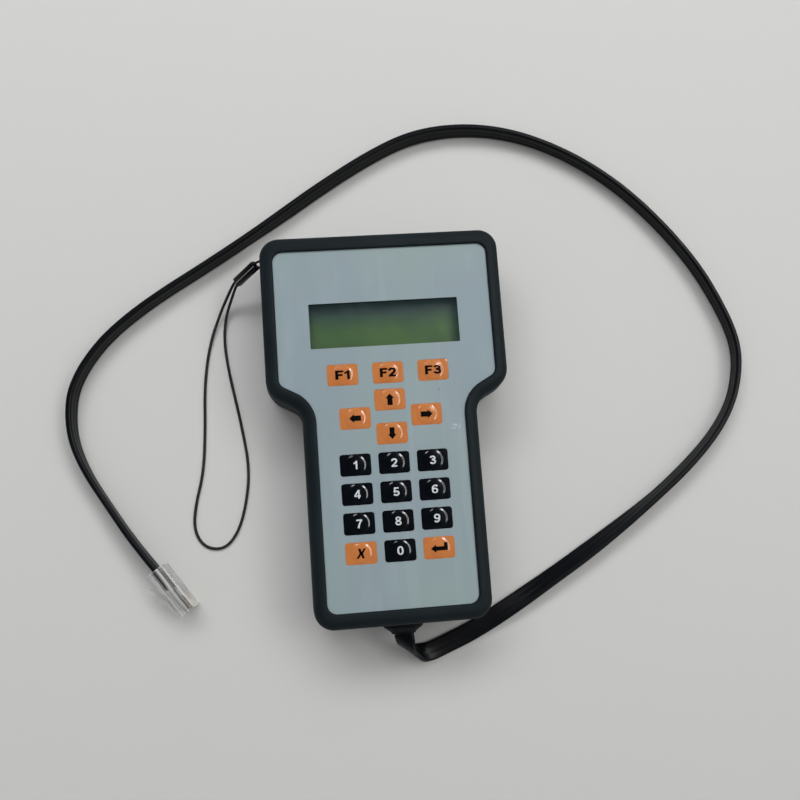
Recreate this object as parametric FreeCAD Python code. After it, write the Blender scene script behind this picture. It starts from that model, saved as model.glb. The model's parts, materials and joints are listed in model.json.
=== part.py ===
import FreeCAD, Part
import math
import os

# Handheld operator terminal with a membrane keypad, a text display, a flat lead and a wrist strap.
# Millimetres. Origin at the centre of the back face, +X right, +Y towards the display, +Z out of the keys.

V = FreeCAD.Vector
UP = V(0, 0, 1)

# Case outline
case_length = 160.0
head_width = 100.0
grip_width = 72.0
corner_radius = 8.5
shoulder_from_top = 65.1
shoulder_drop = 7.7
shoulder_radius = 10.0
neck_radius = 8.0

# Case section
case_height = 30.0
front_height = 15.5
wall = 2.5
back_thickness = 2.5
floor_thickness = 2.5
rim_round = 4.2
rim_inner_round = 0.8
back_round = 5.0
front_draft = 3.0
back_draft = 1.0
seam_chamfer = 0.5
lip_thickness = 1.1
lip_height = 1.6
lip_gap = 0.1

# Recessed panel inside the rim
rim_side = 6.0
rim_end = 7.0
panel_corner_radius = 4.0
panel_shoulder_radius = 4.0
panel_neck_radius = 14.0
rim_rise = 1.2
foil_gap = 0.4
foil_thickness = 0.5
circuit_thickness = 0.3

# Keys, placed from the top end of the case
key_width = 12.2
key_length = 8.4
key_corner = 1.0
key_gap = 0.15
well_margin = 0.5
dome_diameter = 8.0
dome_rise = 0.75
dome_shoulder_width = 0.7
dome_shoulder_rise = 0.45
key_travel = 0.5
key_floor_gap = 0.3
function_row_from_top = 58.95
function_pitch = 18.4
arrows_from_top = 76.85
arrow_reach_x = 14.45
arrow_reach_y = 6.85
digits_from_top = 95.5
digit_pitch_x = 15.5
digit_pitch_y = 11.6

# Display, placed from the top end of the case
window_width = 61.0
window_length = 18.5
window_corner = 0.3
display_from_top = 38.5
pane_margin = 2.5
pane_corner = 1.0
pane_rebate = 0.5
pane_gap = 0.15
opening_margin = 0.75
opening_corner = 0.5
lcd_clearance = 0.2
lcd_view_margin = 2.0
lcd_frame_x = 5.1
lcd_frame_y = 3.35
lcd_sheet = 0.5
lcd_frame_corner = 0.8
lcd_inner_corner = 0.3
lcd_glass_thickness = 2.2
lcd_backlight_thickness = 4.3
lcd_fit = 0.15
lcd_board_margin_x = 4.4
lcd_board_margin_y = 5.4
lcd_board_thickness = 1.6
lcd_board_corner = 0.6
lcd_hole_inset = 2.5
lcd_post_radius = 2.3

# Main board
board_thickness = 1.6
board_spacing = 5.3
board_post_radius = 3.2
board_side_gap = 3.0
board_end_gap = 11.5
board_corner = 2.0
board_hole_inset = 4.5
header_pins = 16
header_pitch = 2.54
header_body = 2.5
header_pin = 0.64
header_to_board_end = 5.0

# Parts on the main board: width, length, height, and their places from the board's middle
controller_size = (12.0, 12.0, 1.6)
controller_place = V(0, -10)
controller_lead_reach = 1.2
driver_size = (7.5, 10.3, 2.4)
driver_place = V(-3, -30)
driver_lead_reach = 1.4
chip_lead_sheet = 0.25
chip_standoff = 0.1
chip_lead_share = 0.85
regulator_size = (6.5, 6.1, 2.3)
regulator_tab = (5.4, 1.4, 0.6)
regulator_place = V(-19, -32)
capacitor_radius = 4.0
capacitor_height = 10.5
capacitor_bead = 0.5
capacitor_place = V(18, -30)
crystal_size = (11.0, 4.6, 3.5)
crystal_end_radius = 2.25
crystal_round = 0.5
crystal_place = V(17, -10)
trimmer_size = (6.6, 6.6, 4.2)
trimmer_rotor_radius = 2.2
trimmer_rotor_rise = 0.6
trimmer_slot = (3.6, 0.6, 0.5)
trimmer_place = V(-19, 8)

# Screws
case_screw_radius = 1.4
case_screw_head_radius = 2.8
case_screw_head_height = 1.9
case_screw_recess = 3.2
case_screw_tip_gap = 1.5
case_boss_radius = 3.6
case_boss_inset = 4.9
small_screw_radius = 1.1
small_screw_length = 6.0
small_screw_head_radius = 2.2
small_screw_head_height = 1.6
screw_fit = 0.05
screw_clearance = 0.3
recess_length = 2.4
recess_width = 0.6
recess_depth = 0.7

# Keypad tail and its connector
tail_width = 9.0
tail_x = 16.5
tail_from_end = 19.0
tail_slot_clearance = 0.6
tail_insertion = 1.6
connector_width = 12.0
connector_depth = 4.5
connector_height = 3.0
connector_slot = 0.6
connector_slot_spare = 0.2

# Flat lead and its grommet
lead_width = 7.6
lead_thickness = 2.5
lead_fit = 0.06
grommet_flare_width = 16.5
grommet_flare_height = 9.0
grommet_tip_width = 9.8
grommet_tip_height = 4.8
grommet_flare_length = 4.2
grommet_neck_width = 13.0
grommet_neck_height = 6.6
grommet_flange_thickness = 2.0
grommet_fit = 0.1
lead_plug_width = 17.5
lead_plug_length = 8.0
lead_plug_height = 5.8
lead_plug_from_end = 14.0
lead_plug_rib = (4.0, 2.0, 1.0)
lead_header_wall = 0.9
lead_header_depth = 5.0
lead_header_gap = 0.25

# Plug on the lead's far end, lying on its side
plug_length = 21.5
plug_height = 8.0
plug_width = 11.7
plug_front_drop = 1.5
plug_hood_length = 8.5
plug_ramp = 1.5
plug_edge_round = 0.4
plug_cavity_depth = 11.0
plug_cavity_gap = 0.25
plug_lead_depth = 10.0
contact_count = 8
contact_pitch = 1.02
contact_thickness = 0.35
contact_length = 6.0
contact_height = 1.9
contact_recess = 0.4
contact_slot = 0.5
wire_radius = 0.42
wire_fit = 0.04
latch_thickness = 1.2
latch_length = 16.5
latch_root_length = 8.0
latch_root_width = 6.2
latch_tip_width = 3.4
latch_corner = 0.3
latch_angle = 15.0
latch_gap = 0.25
latch_setback = 0.9
plug_place = V(-99.4, -52.0, 0)
plug_heading = -54.7

# Wrist strap
eye_from_top = 9.0
eye_from_front = 9.8
eye_pitch = 3.6
eye_radius = 1.3
tie_diameter = 1.0
tie_seat_gap = 0.1
tie_lead = 0.85
ferrule_width = 4.0
ferrule_height = 3.2
ferrule_round = 0.9
ferrule_end_round = 0.35
ferrule_near_gap = 2.0
ferrule_near_shift = 0.4
ferrule_near_drop = 0.5
ferrule_far = V(-60.3, 66.0, 12.0)
strap_diameter = 1.2
strap_spacing = 1.5
strap_lead = 1.6

# Round tube that has the flat lead's section area
cable_diameter = 4.9
arc_share = 0.45

# Levels worked out from the sizes above
spacer_thickness = key_travel + key_floor_gap
parting_height = case_height - front_height
eye_height = case_height - eye_from_front
foil_top = case_height - rim_rise
foil_under = foil_top - foil_thickness
spacer_under = foil_under - spacer_thickness
floor_top = spacer_under - circuit_thickness
floor_under = floor_top - floor_thickness
bezel_top = floor_under - lcd_clearance
glass_top = bezel_top - lcd_sheet
backlight_top = glass_top - lcd_glass_thickness
lcd_board_top = backlight_top - lcd_backlight_thickness
lcd_board_under = lcd_board_top - lcd_board_thickness
board_top = lcd_board_under - board_spacing
board_under = board_top - board_thickness

# Places worked out from the sizes above
top_y = case_length / 2
bottom_y = -case_length / 2
display_y = top_y - display_from_top
pane_size = (window_width + 2 * pane_margin, window_length + 2 * pane_margin)
lcd_view_size = (window_width + 2 * lcd_view_margin, window_length + 2 * lcd_view_margin)
bezel_size = (window_width + 2 * lcd_frame_x, window_length + 2 * lcd_frame_y)
lcd_board_size = (bezel_size[0] + 2 * lcd_board_margin_x, bezel_size[1] + 2 * lcd_board_margin_y)
header_y = display_y + lcd_board_size[1] / 2 - lcd_hole_inset
board_half_width = grip_width / 2 - wall - board_side_gap
board_low_y = bottom_y + wall + board_end_gap
board_high_y = header_y + header_to_board_end
tail_y = bottom_y + tail_from_end
grommet_tip_y = bottom_y - grommet_flare_length
lead_plug_low_y = bottom_y + lead_plug_from_end
eye_y = top_y - eye_from_top
eye_places = (eye_y + eye_pitch / 2, eye_y - eye_pitch / 2)


def mirrored(x, y):
    return [(x, y), (-x, y)]


case_boss_places = (
    mirrored(head_width / 2 - wall - case_boss_inset, top_y - wall - case_boss_inset)
    + mirrored(grip_width / 2 - wall - case_boss_inset, bottom_y + wall + case_boss_inset)
)
lcd_post_places = [
    place
    for side in (-1, 1)
    for place in mirrored(
        lcd_board_size[0] / 2 - lcd_hole_inset,
        display_y + side * (lcd_board_size[1] / 2 - lcd_hole_inset),
    )
]
board_post_places = (
    mirrored(board_half_width - board_hole_inset, board_high_y - board_hole_inset)
    + mirrored(board_half_width - board_hole_inset, board_low_y + board_hole_inset)
)


# Outlines

def inset_corners(corners, insets):
    # moves each side of an anticlockwise outline inwards by its own distance
    count = len(corners)
    lines = []
    for i in range(count):
        start, end = V(*corners[i]), V(*corners[(i + 1) % count])
        along = (end - start).normalize()
        lines.append((start + UP.cross(along) * insets[i], along))
    moved = []
    for i in range(count):
        (a, u), (b, w) = lines[i - 1], lines[i]
        reach = (b - a).cross(w).z / u.cross(w).z
        moved.append(a + u * reach)
    return moved


def rounded_wire(corners, radii, z):
    # straight sides joined by a tangent arc at each corner
    count = len(corners)
    arcs = []
    for i in range(count):
        corner = V(corners[i].x, corners[i].y, z)
        back = (corners[i - 1] - corners[i]).normalize()
        ahead = (corners[(i + 1) % count] - corners[i]).normalize()
        half = back.getAngle(ahead) / 2
        reach = radii[i] / math.tan(half)
        middle = (back + ahead).normalize() * (radii[i] / math.sin(half) - radii[i])
        arcs.append((corner + back * reach, corner + middle, corner + ahead * reach))
    edges = []
    for i in range(count):
        edges.append(Part.Arc(*arcs[i]).toShape())
        edges.append(Part.makeLine(arcs[i][2], arcs[(i + 1) % count][0]))
    return Part.Wire(edges)


def case_corners():
    head, grip = head_width / 2, grip_width / 2
    shoulder = top_y - shoulder_from_top
    neck = shoulder - shoulder_drop
    right = [(grip, bottom_y), (grip, neck), (head, shoulder), (head, top_y)]
    return right + [(-x, y) for x, y in reversed(right)]


def case_wire(inset, z):
    convex = corner_radius - inset
    right = [convex, neck_radius + inset, shoulder_radius - inset, convex]
    corners = inset_corners(case_corners(), [inset] * 8)
    return rounded_wire(corners, right + right[::-1], z)


def panel_wire(inset, z):
    convex = panel_corner_radius - inset
    right = [convex, panel_neck_radius + inset, panel_shoulder_radius - inset, convex]
    insets = [rim_side + inset] * 8
    insets[3] = insets[7] = rim_end + inset
    corners = inset_corners(case_corners(), insets)
    return rounded_wire(corners, right + right[::-1], z)


def rectangle_wire(width, length, radius, x, y, z):
    w, h = width / 2, length / 2
    corners = [V(x + w, y - h), V(x + w, y + h), V(x - w, y + h), V(x - w, y - h)]
    return rounded_wire(corners, [radius] * 4, z)


def prism(wire, z_top):
    face = Part.Face(wire)
    return face.extrude(V(0, 0, z_top - wire.BoundBox.ZMin))


def drafted_case(z_span, low_inset, high_inset):
    # case outline whose walls lean in towards one end, as they do in a mould
    wires = [case_wire(low_inset, z_span[0]), case_wire(high_inset, z_span[1])]
    return Part.makeLoft(wires, True, True)


def box(x_span, y_span, z_span):
    size = [span[1] - span[0] for span in (x_span, y_span, z_span)]
    return Part.makeBox(*size, V(x_span[0], y_span[0], z_span[0]))


def centred_box(x, y, width, length, z_span):
    return box((x - width / 2, x + width / 2), (y - length / 2, y + length / 2), z_span)


def post(place, radius, z_span):
    return Part.makeCylinder(radius, z_span[1] - z_span[0], V(place[0], place[1], z_span[0]))


def level_at(piece, z):
    return abs(piece.BoundBox.ZMin - z) < 1e-4 and abs(piece.BoundBox.ZMax - z) < 1e-4


def edges_at(shape, z):
    return [e for e in shape.Edges if level_at(e, z)]


def top_face(shape, z):
    return max([f for f in shape.Faces if level_at(f, z)], key=lambda f: f.BoundBox.DiagonalLength)


def slot_wire(width, height, y, z):
    # upright stadium in a plane across Y
    r = height / 2
    x = width / 2 - r
    upper, lower = V(x, y, z + r), V(x, y, z - r)
    upper_left, lower_left = V(-x, y, z + r), V(-x, y, z - r)
    return Part.Wire([
        Part.makeLine(upper_left, upper),
        Part.Arc(upper, V(x + r, y, z), lower).toShape(),
        Part.makeLine(lower, lower_left),
        Part.Arc(lower_left, V(-x - r, y, z), upper_left).toShape(),
    ])


def slot_prism(width, height, y_span, z):
    return Part.Face(slot_wire(width, height, y_span[0], z)).extrude(V(0, y_span[1] - y_span[0], 0))


# Keys

def key_places():
    function_y = top_y - function_row_from_top
    arrows_y = top_y - arrows_from_top
    places = {
        "key_f1": (-function_pitch, function_y),
        "key_f2": (0, function_y),
        "key_f3": (function_pitch, function_y),
        "key_up": (0, arrows_y + arrow_reach_y),
        "key_left": (-arrow_reach_x, arrows_y),
        "key_right": (arrow_reach_x, arrows_y),
        "key_down": (0, arrows_y - arrow_reach_y),
    }
    rows = [("1", "2", "3"), ("4", "5", "6"), ("7", "8", "9"), ("cancel", "0", "enter")]
    for i, row in enumerate(rows):
        for j, name in enumerate(row):
            y = top_y - digits_from_top - i * digit_pitch_y
            places["key_" + name] = ((j - 1) * digit_pitch_x, y)
    return places


def key(place):
    # embossed field of the front foil: a flat plate with a stepped round dome
    x, y = place
    plate = prism(rectangle_wire(key_width, key_length, key_corner, x, y, foil_under), foil_top)
    outer = dome_diameter / 2
    inner = outer - dome_shoulder_width
    bend = math.sqrt(0.5)
    shoulder_mid = V(inner + dome_shoulder_width * bend, 0, dome_shoulder_rise * bend)
    crown_rise = dome_rise - dome_shoulder_rise
    crown_radius = (inner ** 2 + crown_rise ** 2) / (2 * crown_rise)
    crown_centre = dome_rise - crown_radius
    crown_mid = V(inner / 2, 0, crown_centre + math.sqrt(crown_radius ** 2 - inner ** 2 / 4))
    root = V(0, 0, -foil_thickness / 2)
    rim = V(outer, 0, root.z)
    foot, shoulder, crown = V(outer, 0, 0), V(inner, 0, dome_shoulder_rise), V(0, 0, dome_rise)
    profile = Part.Wire([
        Part.makeLine(root, rim),
        Part.makeLine(rim, foot),
        Part.Arc(foot, shoulder_mid, shoulder).toShape(),
        Part.Arc(shoulder, crown_mid, crown).toShape(),
        Part.makeLine(crown, root),
    ])
    dome = Part.Face(profile).revolve(V(0, 0, 0), UP, 360)
    dome.translate(V(x, y, foil_top))
    return plate.fuse(dome).removeSplitter()


def key_opening(place, margin, z_span):
    wire = rectangle_wire(
        key_width + 2 * margin, key_length + 2 * margin, key_corner + margin, *place, z_span[0]
    )
    return prism(wire, z_span[1])


def window_opening(size, radius, z_span):
    return prism(rectangle_wire(size[0], size[1], radius, 0, display_y, z_span[0]), z_span[1])


# Front panel stack

def keypad_overlay():
    span = (foil_under, foil_top)
    sheet = prism(panel_wire(foil_gap, foil_under), foil_top)
    window = window_opening((window_width, window_length), window_corner, span)
    return sheet.cut([window] + [key_opening(p, key_gap, span) for p in key_places().values()])


def pane_hole(z_span):
    size = [side + 2 * pane_gap for side in pane_size]
    return window_opening(size, pane_corner + pane_gap, z_span)


def keypad_spacer():
    span = (spacer_under, foil_under)
    sheet = prism(panel_wire(foil_gap, spacer_under), foil_under)
    return sheet.cut([pane_hole(span)] + [key_opening(p, well_margin, span) for p in key_places().values()])


def keypad_circuit():
    # printed layer whose tail folds down through the floor to the main board
    span = (floor_top, spacer_under)
    sheet = prism(panel_wire(foil_gap, floor_top), spacer_under).cut(pane_hole(span))
    tail_end = board_top + connector_height - tail_insertion
    tail = centred_box(tail_x, tail_y, tail_width, circuit_thickness, (tail_end, floor_top))
    return sheet.fuse(tail).removeSplitter()


def display_window():
    return window_opening(pane_size, pane_corner, (floor_top - pane_rebate, foil_under))


# Case shells

def lead_notch():
    span = (bottom_y - wall, bottom_y + 2 * wall)
    width = grommet_neck_width + 2 * grommet_fit
    height = grommet_neck_height + 2 * grommet_fit
    return slot_prism(width, height, span, parting_height)


def front_shell():
    lean = front_height * math.tan(math.radians(front_draft))
    shell = drafted_case((parting_height, case_height), 0, lean)
    shell = shell.makeFillet(rim_round, edges_at(shell, case_height))
    shell = shell.makeChamfer(seam_chamfer, edges_at(shell, parting_height))
    hollow = prism(case_wire(wall, parting_height - 1), floor_under)
    rebate_inset = wall - lip_thickness - lip_gap
    rebate = prism(case_wire(rebate_inset, parting_height - 1), parting_height + lip_height + lip_gap)
    pocket = prism(panel_wire(0, floor_top), case_height + 1)
    shell = shell.cut([hollow, rebate, pocket])
    rim = top_face(shell, case_height)
    inner_edges = [e for w in rim.Wires if not w.isSame(rim.OuterWire) for e in w.Edges]
    shell = shell.makeFillet(rim_inner_round, inner_edges)

    bosses = [post(p, case_boss_radius, (parting_height, floor_under)) for p in case_boss_places]
    bosses += [post(p, lcd_post_radius, (lcd_board_top, floor_under)) for p in lcd_post_places]
    shell = shell.fuse(bosses).removeSplitter()

    through = (floor_under - 1, floor_top + 1)
    opening = [side + 2 * opening_margin for side in (window_width, window_length)]
    cuts = [
        window_opening(opening, opening_corner, through),
        pane_hole((floor_top - pane_rebate, floor_top + 1)),
        centred_box(
            tail_x, tail_y, tail_width + 2 * tail_slot_clearance,
            circuit_thickness + 2 * tail_slot_clearance, through,
        ),
        lead_notch(),
    ]
    pilot_top = floor_under - case_screw_tip_gap / 2
    for place in case_boss_places:
        cuts.append(post(place, case_screw_radius + screw_fit, (parting_height - 1, pilot_top)))
    lcd_pilot_top = lcd_board_under + small_screw_length + screw_clearance
    for place in lcd_post_places:
        cuts.append(post(place, small_screw_radius + screw_fit, (lcd_board_top - 1, lcd_pilot_top)))
    for y in eye_places:
        mouth = V(-head_width / 2 - wall, y, eye_height)
        cuts.append(Part.makeCylinder(eye_radius, 3 * wall, mouth, V(1, 0, 0)))
    return shell.cut(cuts)


def rear_shell():
    lean = parting_height * math.tan(math.radians(back_draft))
    shell = drafted_case((0, parting_height), lean, 0)
    shell = shell.makeFillet(back_round, edges_at(shell, 0))
    shell = shell.makeChamfer(seam_chamfer, edges_at(shell, parting_height))
    hollow = prism(case_wire(wall, back_thickness), parting_height + 1)
    hollow = hollow.makeFillet(back_round - wall, edges_at(hollow, back_thickness))
    lip_top = parting_height + lip_height
    lip = prism(case_wire(wall - lip_thickness, parting_height - 1), lip_top)
    lip = lip.cut(prism(case_wire(wall, parting_height - 2), lip_top + 1))
    shell = shell.cut(hollow).fuse(lip)

    bosses = [post(p, case_boss_radius, (back_thickness / 2, parting_height)) for p in case_boss_places]
    bosses += [post(p, board_post_radius, (back_thickness / 2, board_under)) for p in board_post_places]
    shell = shell.fuse(bosses).removeSplitter()

    cuts = [lead_notch()]
    for place in case_boss_places:
        cuts.append(post(place, case_screw_head_radius + screw_clearance, (-1, case_screw_recess)))
        cuts.append(post(place, case_screw_radius + screw_clearance, (0, parting_height + 1)))
    pilot_low = board_top - small_screw_length - screw_clearance
    for place in board_post_places:
        cuts.append(post(place, small_screw_radius + screw_fit, (pilot_low, board_under + 1)))
    return shell.cut(cuts)


# Screws

def screw(place, seat, direction, radius, length, head_radius, head_height):
    # pan head with a cross recess, its shank leaving the seat along Z
    way = V(0, 0, direction)
    base = V(place[0], place[1], seat)
    shank = Part.makeCylinder(radius, length, base, way)
    head = Part.makeCylinder(head_radius, head_height, base, way * -1)
    crown = seat - direction * head_height
    head = head.makeFillet(head_height / 2.5, edges_at(head, crown))
    levels = sorted((crown - direction, crown + direction * recess_depth))
    x, y = place
    slots = [
        centred_box(x, y, recess_length, recess_width, levels),
        centred_box(x, y, recess_width, recess_length, levels),
    ]
    return head.fuse(shank).removeSplitter().cut(slots)


def case_screws():
    length = floor_under - case_screw_tip_gap - case_screw_recess
    return Part.Compound([
        screw(p, case_screw_recess, 1, case_screw_radius, length, case_screw_head_radius, case_screw_head_height)
        for p in case_boss_places
    ])


def small_screws(places, seat, direction):
    return Part.Compound([
        screw(
            p, seat, direction, small_screw_radius, small_screw_length,
            small_screw_head_radius, small_screw_head_height,
        )
        for p in places
    ])


# Display module

def lcd_bezel():
    frame = window_opening(bezel_size, lcd_frame_corner, (lcd_board_top, bezel_top))
    inside = [side - 2 * lcd_sheet for side in bezel_size]
    frame = frame.cut(window_opening(inside, lcd_inner_corner, (lcd_board_top - 1, glass_top)))
    return frame.cut(window_opening(lcd_view_size, lcd_inner_corner, (glass_top - 1, bezel_top + 1)))


def lcd_filling(z_span):
    size = [side - 2 * lcd_sheet - 2 * lcd_fit for side in bezel_size]
    return window_opening(size, lcd_inner_corner, z_span)


def lcd_board():
    board = window_opening(lcd_board_size, lcd_board_corner, (lcd_board_under, lcd_board_top))
    holes = [
        post(p, small_screw_radius + screw_clearance, (lcd_board_under - 1, lcd_board_top + 1))
        for p in lcd_post_places
    ]
    return board.cut(holes)


def lcd_header():
    # strip of pins between the main board and the display board
    width = header_pins * header_pitch
    strip = centred_box(0, header_y, width, header_body, (board_top, board_top + header_body))
    pins = []
    for i in range(header_pins):
        x = (i - (header_pins - 1) / 2) * header_pitch
        levels = (board_top + header_body / 2, lcd_board_under)
        pins.append(centred_box(x, header_y, header_pin, header_pin, levels))
    return strip.fuse(pins).removeSplitter()


# Main board and what stands on it

def main_board():
    length = board_high_y - board_low_y
    middle = (board_high_y + board_low_y) / 2
    wire = rectangle_wire(2 * board_half_width, length, board_corner, 0, middle, board_under)
    holes = [
        post(p, small_screw_radius + screw_clearance, (board_under - 1, board_top + 1))
        for p in board_post_places
    ]
    return prism(wire, board_top).cut(holes)


def board_middle():
    return V(0, (board_low_y + board_high_y) / 2)


def chip(place, size, lead_reach):
    # moulded package with a row of leads, drawn as a strip, along two sides
    at = board_middle() + place
    width, length, height = size
    lead_level = board_top + height / 3
    body = centred_box(at.x, at.y, width, length, (board_top + chip_standoff, board_top + height))
    body = body.makeChamfer(height / 8, edges_at(body, board_top + height))
    span = width + 2 * lead_reach
    leads = centred_box(at.x, at.y, span, length * chip_lead_share, (board_top, lead_level))
    under = centred_box(
        at.x, at.y, span - 2 * chip_lead_sheet, length, (board_top - 1, lead_level - chip_lead_sheet)
    )
    return body.fuse(leads.cut(under)).removeSplitter()


def regulator():
    at = board_middle() + regulator_place
    width, length, height = regulator_size
    tab_width, tab_length, tab_height = regulator_tab
    body = centred_box(at.x, at.y, width, length, (board_top, board_top + height))
    tab_y = at.y + length / 2 + tab_length / 2
    tab = centred_box(at.x, tab_y, tab_width, tab_length, (board_top, board_top + tab_height))
    return body.fuse(tab).removeSplitter()


def capacitor():
    at = board_middle() + capacitor_place
    top = board_top + capacitor_height
    can = post(at, capacitor_radius, (board_top, top))
    can = can.makeFillet(capacitor_bead, edges_at(can, top))
    groove_at = V(at.x, at.y, board_top + 3 * capacitor_bead)
    return can.cut(Part.makeTorus(capacitor_radius + capacitor_bead / 2, capacitor_bead, groove_at))


def crystal():
    at = board_middle() + crystal_place
    width, length, height = crystal_size
    can = prism(rectangle_wire(width, length, crystal_end_radius, at.x, at.y, board_top), board_top + height)
    return can.makeFillet(crystal_round, edges_at(can, board_top + height))


def contrast_trimmer():
    at = board_middle() + trimmer_place
    width, length, height = trimmer_size
    slot_length, slot_width, slot_depth = trimmer_slot
    top = board_top + height
    rotor_top = top + trimmer_rotor_rise
    body = centred_box(at.x, at.y, width, length, (board_top, top))
    rotor = post(at, trimmer_rotor_radius, (top - trimmer_rotor_rise, rotor_top))
    slot = centred_box(at.x, at.y, slot_length, slot_width, (rotor_top - slot_depth, rotor_top + 1))
    return body.fuse(rotor).removeSplitter().cut(slot)


def keypad_connector():
    top = board_top + connector_height
    body = centred_box(tail_x, tail_y, connector_width, connector_depth, (board_top, top))
    slot_width = tail_width + connector_slot
    slot_low = top - tail_insertion - connector_slot_spare
    slot = centred_box(tail_x, tail_y, slot_width, connector_slot, (slot_low, top + 1))
    return body.cut(slot)


def lead_plug_span():
    return (lead_plug_low_y, lead_plug_low_y + lead_plug_length)


def lead_plug():
    # housing crimped on the lead's inner end
    z_span = (parting_height - lead_plug_height / 2, parting_height + lead_plug_height / 2)
    low, high = lead_plug_span()
    body = box((-lead_plug_width / 2, lead_plug_width / 2), (low, high), z_span)
    rib_width, rib_length, rib_height = lead_plug_rib
    key_rib = centred_box(
        0, low + rib_length / 2, rib_width, rib_length, (z_span[1], z_span[1] + rib_height)
    )
    return body.fuse(key_rib).removeSplitter()


def lead_header():
    # shrouded socket on the board that takes the lead plug from the cable end
    low, high = lead_plug_span()
    inner_x = lead_plug_width / 2 + lead_header_gap
    top = parting_height + lead_plug_height / 2 + lead_header_gap
    base = parting_height - lead_plug_height / 2 - lead_header_gap
    mouth = high - lead_header_depth
    outer = box(
        (-inner_x - lead_header_wall, inner_x + lead_header_wall),
        (mouth, high + lead_header_gap + lead_header_wall),
        (board_top, top + lead_header_wall),
    )
    return outer.cut(box((-inner_x, inner_x), (mouth - 1, high + lead_header_gap), (base, top)))


def lead_inside():
    # the flat lead from the grommet's tip to the housing on its inner end
    z_span = (parting_height - lead_thickness / 2, parting_height + lead_thickness / 2)
    return box((-lead_width / 2, lead_width / 2), (grommet_tip_y, lead_plug_low_y), z_span)


def cable_grommet():
    flare = Part.makeLoft([
        slot_wire(grommet_flare_width, grommet_flare_height, bottom_y, parting_height),
        slot_wire(grommet_tip_width, grommet_tip_height, grommet_tip_y, parting_height),
    ], True, True)
    neck_end = bottom_y + wall
    neck = slot_prism(grommet_neck_width, grommet_neck_height, (bottom_y, neck_end), parting_height)
    flange = slot_prism(
        grommet_flare_width, grommet_flare_height,
        (neck_end, neck_end + grommet_flange_thickness), parting_height,
    )
    solid = flare.fuse([neck, flange]).removeSplitter()
    half_x = lead_width / 2 + lead_fit
    half_z = lead_thickness / 2 + lead_fit
    slot = box(
        (-half_x, half_x), (grommet_tip_y - 1, neck_end + grommet_flange_thickness + 1),
        (parting_height - half_z, parting_height + half_z),
    )
    return solid.cut(slot)


# Plug: drawn along +X from its rear face, contacts towards +Y, latch towards -Y, width along Z

def plug_in_place(shape):
    placed = shape.copy()
    laid = FreeCAD.Placement(plug_place + V(0, 0, plug_width / 2), FreeCAD.Rotation(UP, plug_heading))
    placed.Placement = laid.multiply(shape.Placement)
    return placed


def contact_levels():
    return [(i - (contact_count - 1) / 2) * contact_pitch for i in range(contact_count)]


def contact_floor():
    return plug_height / 2 - contact_recess - contact_height


def contact_start():
    return plug_length - contact_length - contact_recess


def plug_body():
    half = plug_height / 2
    front_low = -half + plug_front_drop
    ramp_end = plug_hood_length + plug_ramp
    outline = [
        V(0, -half), V(plug_hood_length, -half), V(ramp_end, front_low),
        V(plug_length, front_low), V(plug_length, half), V(0, half),
    ]
    wire = rounded_wire(outline, [plug_edge_round] * len(outline), -plug_width / 2)
    body = prism(wire, plug_width / 2)
    cavity_y = lead_thickness / 2 + plug_cavity_gap
    cavity_z = lead_width / 2 + plug_cavity_gap
    cuts = [box((-1, plug_cavity_depth), (-cavity_y, cavity_y), (-cavity_z, cavity_z))]
    floor = contact_floor()
    for level in contact_levels():
        slot = (level - contact_slot / 2, level + contact_slot / 2)
        cuts.append(box((contact_start() - contact_recess, plug_length + 1), (floor, half + 1), slot))
        cuts.append(Part.makeCylinder(
            wire_radius + wire_fit, plug_length - contact_recess - plug_lead_depth,
            V(plug_lead_depth, 0, level), V(1, 0, 0),
        ))
    return body.cut(cuts)


def plug_contacts():
    blades = []
    floor = contact_floor()
    for level in contact_levels():
        blades.append(box(
            (contact_start(), contact_start() + contact_length), (floor, floor + contact_height),
            (level - contact_thickness / 2, level + contact_thickness / 2),
        ))
    return Part.Compound(blades)


def plug_wires():
    length = contact_start() + contact_length - plug_lead_depth - contact_recess
    return Part.Compound([
        Part.makeCylinder(wire_radius, length, V(plug_lead_depth, 0, level), V(1, 0, 0))
        for level in contact_levels()
    ])


def plug_lead():
    half_y, half_z = lead_thickness / 2, lead_width / 2
    return box((0, plug_lead_depth), (-half_y, half_y), (-half_z, half_z))


def latch_pivot():
    front_low = -plug_height / 2 + plug_front_drop
    return V(plug_length - latch_setback, front_low - latch_gap - latch_thickness / 2, 0)


def plug_latch():
    # springy tongue that leaves the plug's nose and slopes out towards its tail
    half = latch_thickness / 2
    root, tip = latch_root_width / 2, latch_tip_width / 2
    outline = [
        V(0, -root), V(0, root), V(-latch_root_length, root), V(-latch_root_length - root + tip, tip),
        V(-latch_length, tip), V(-latch_length, -tip), V(-latch_root_length - root + tip, -tip),
        V(-latch_root_length, -root),
    ]
    tongue = prism(rounded_wire(outline, [latch_corner] * len(outline), -half), half)
    tongue.rotate(V(0, 0, 0), V(1, 0, 0), 90)
    nose = Part.makeCylinder(half, 2 * root, V(0, 0, -root), UP)
    latch = tongue.fuse(nose).removeSplitter()
    latch.rotate(V(0, 0, 0), UP, latch_angle)
    latch.translate(latch_pivot())
    return latch


# Cords: straight runs joined by arcs that are as large as their runs allow

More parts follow.
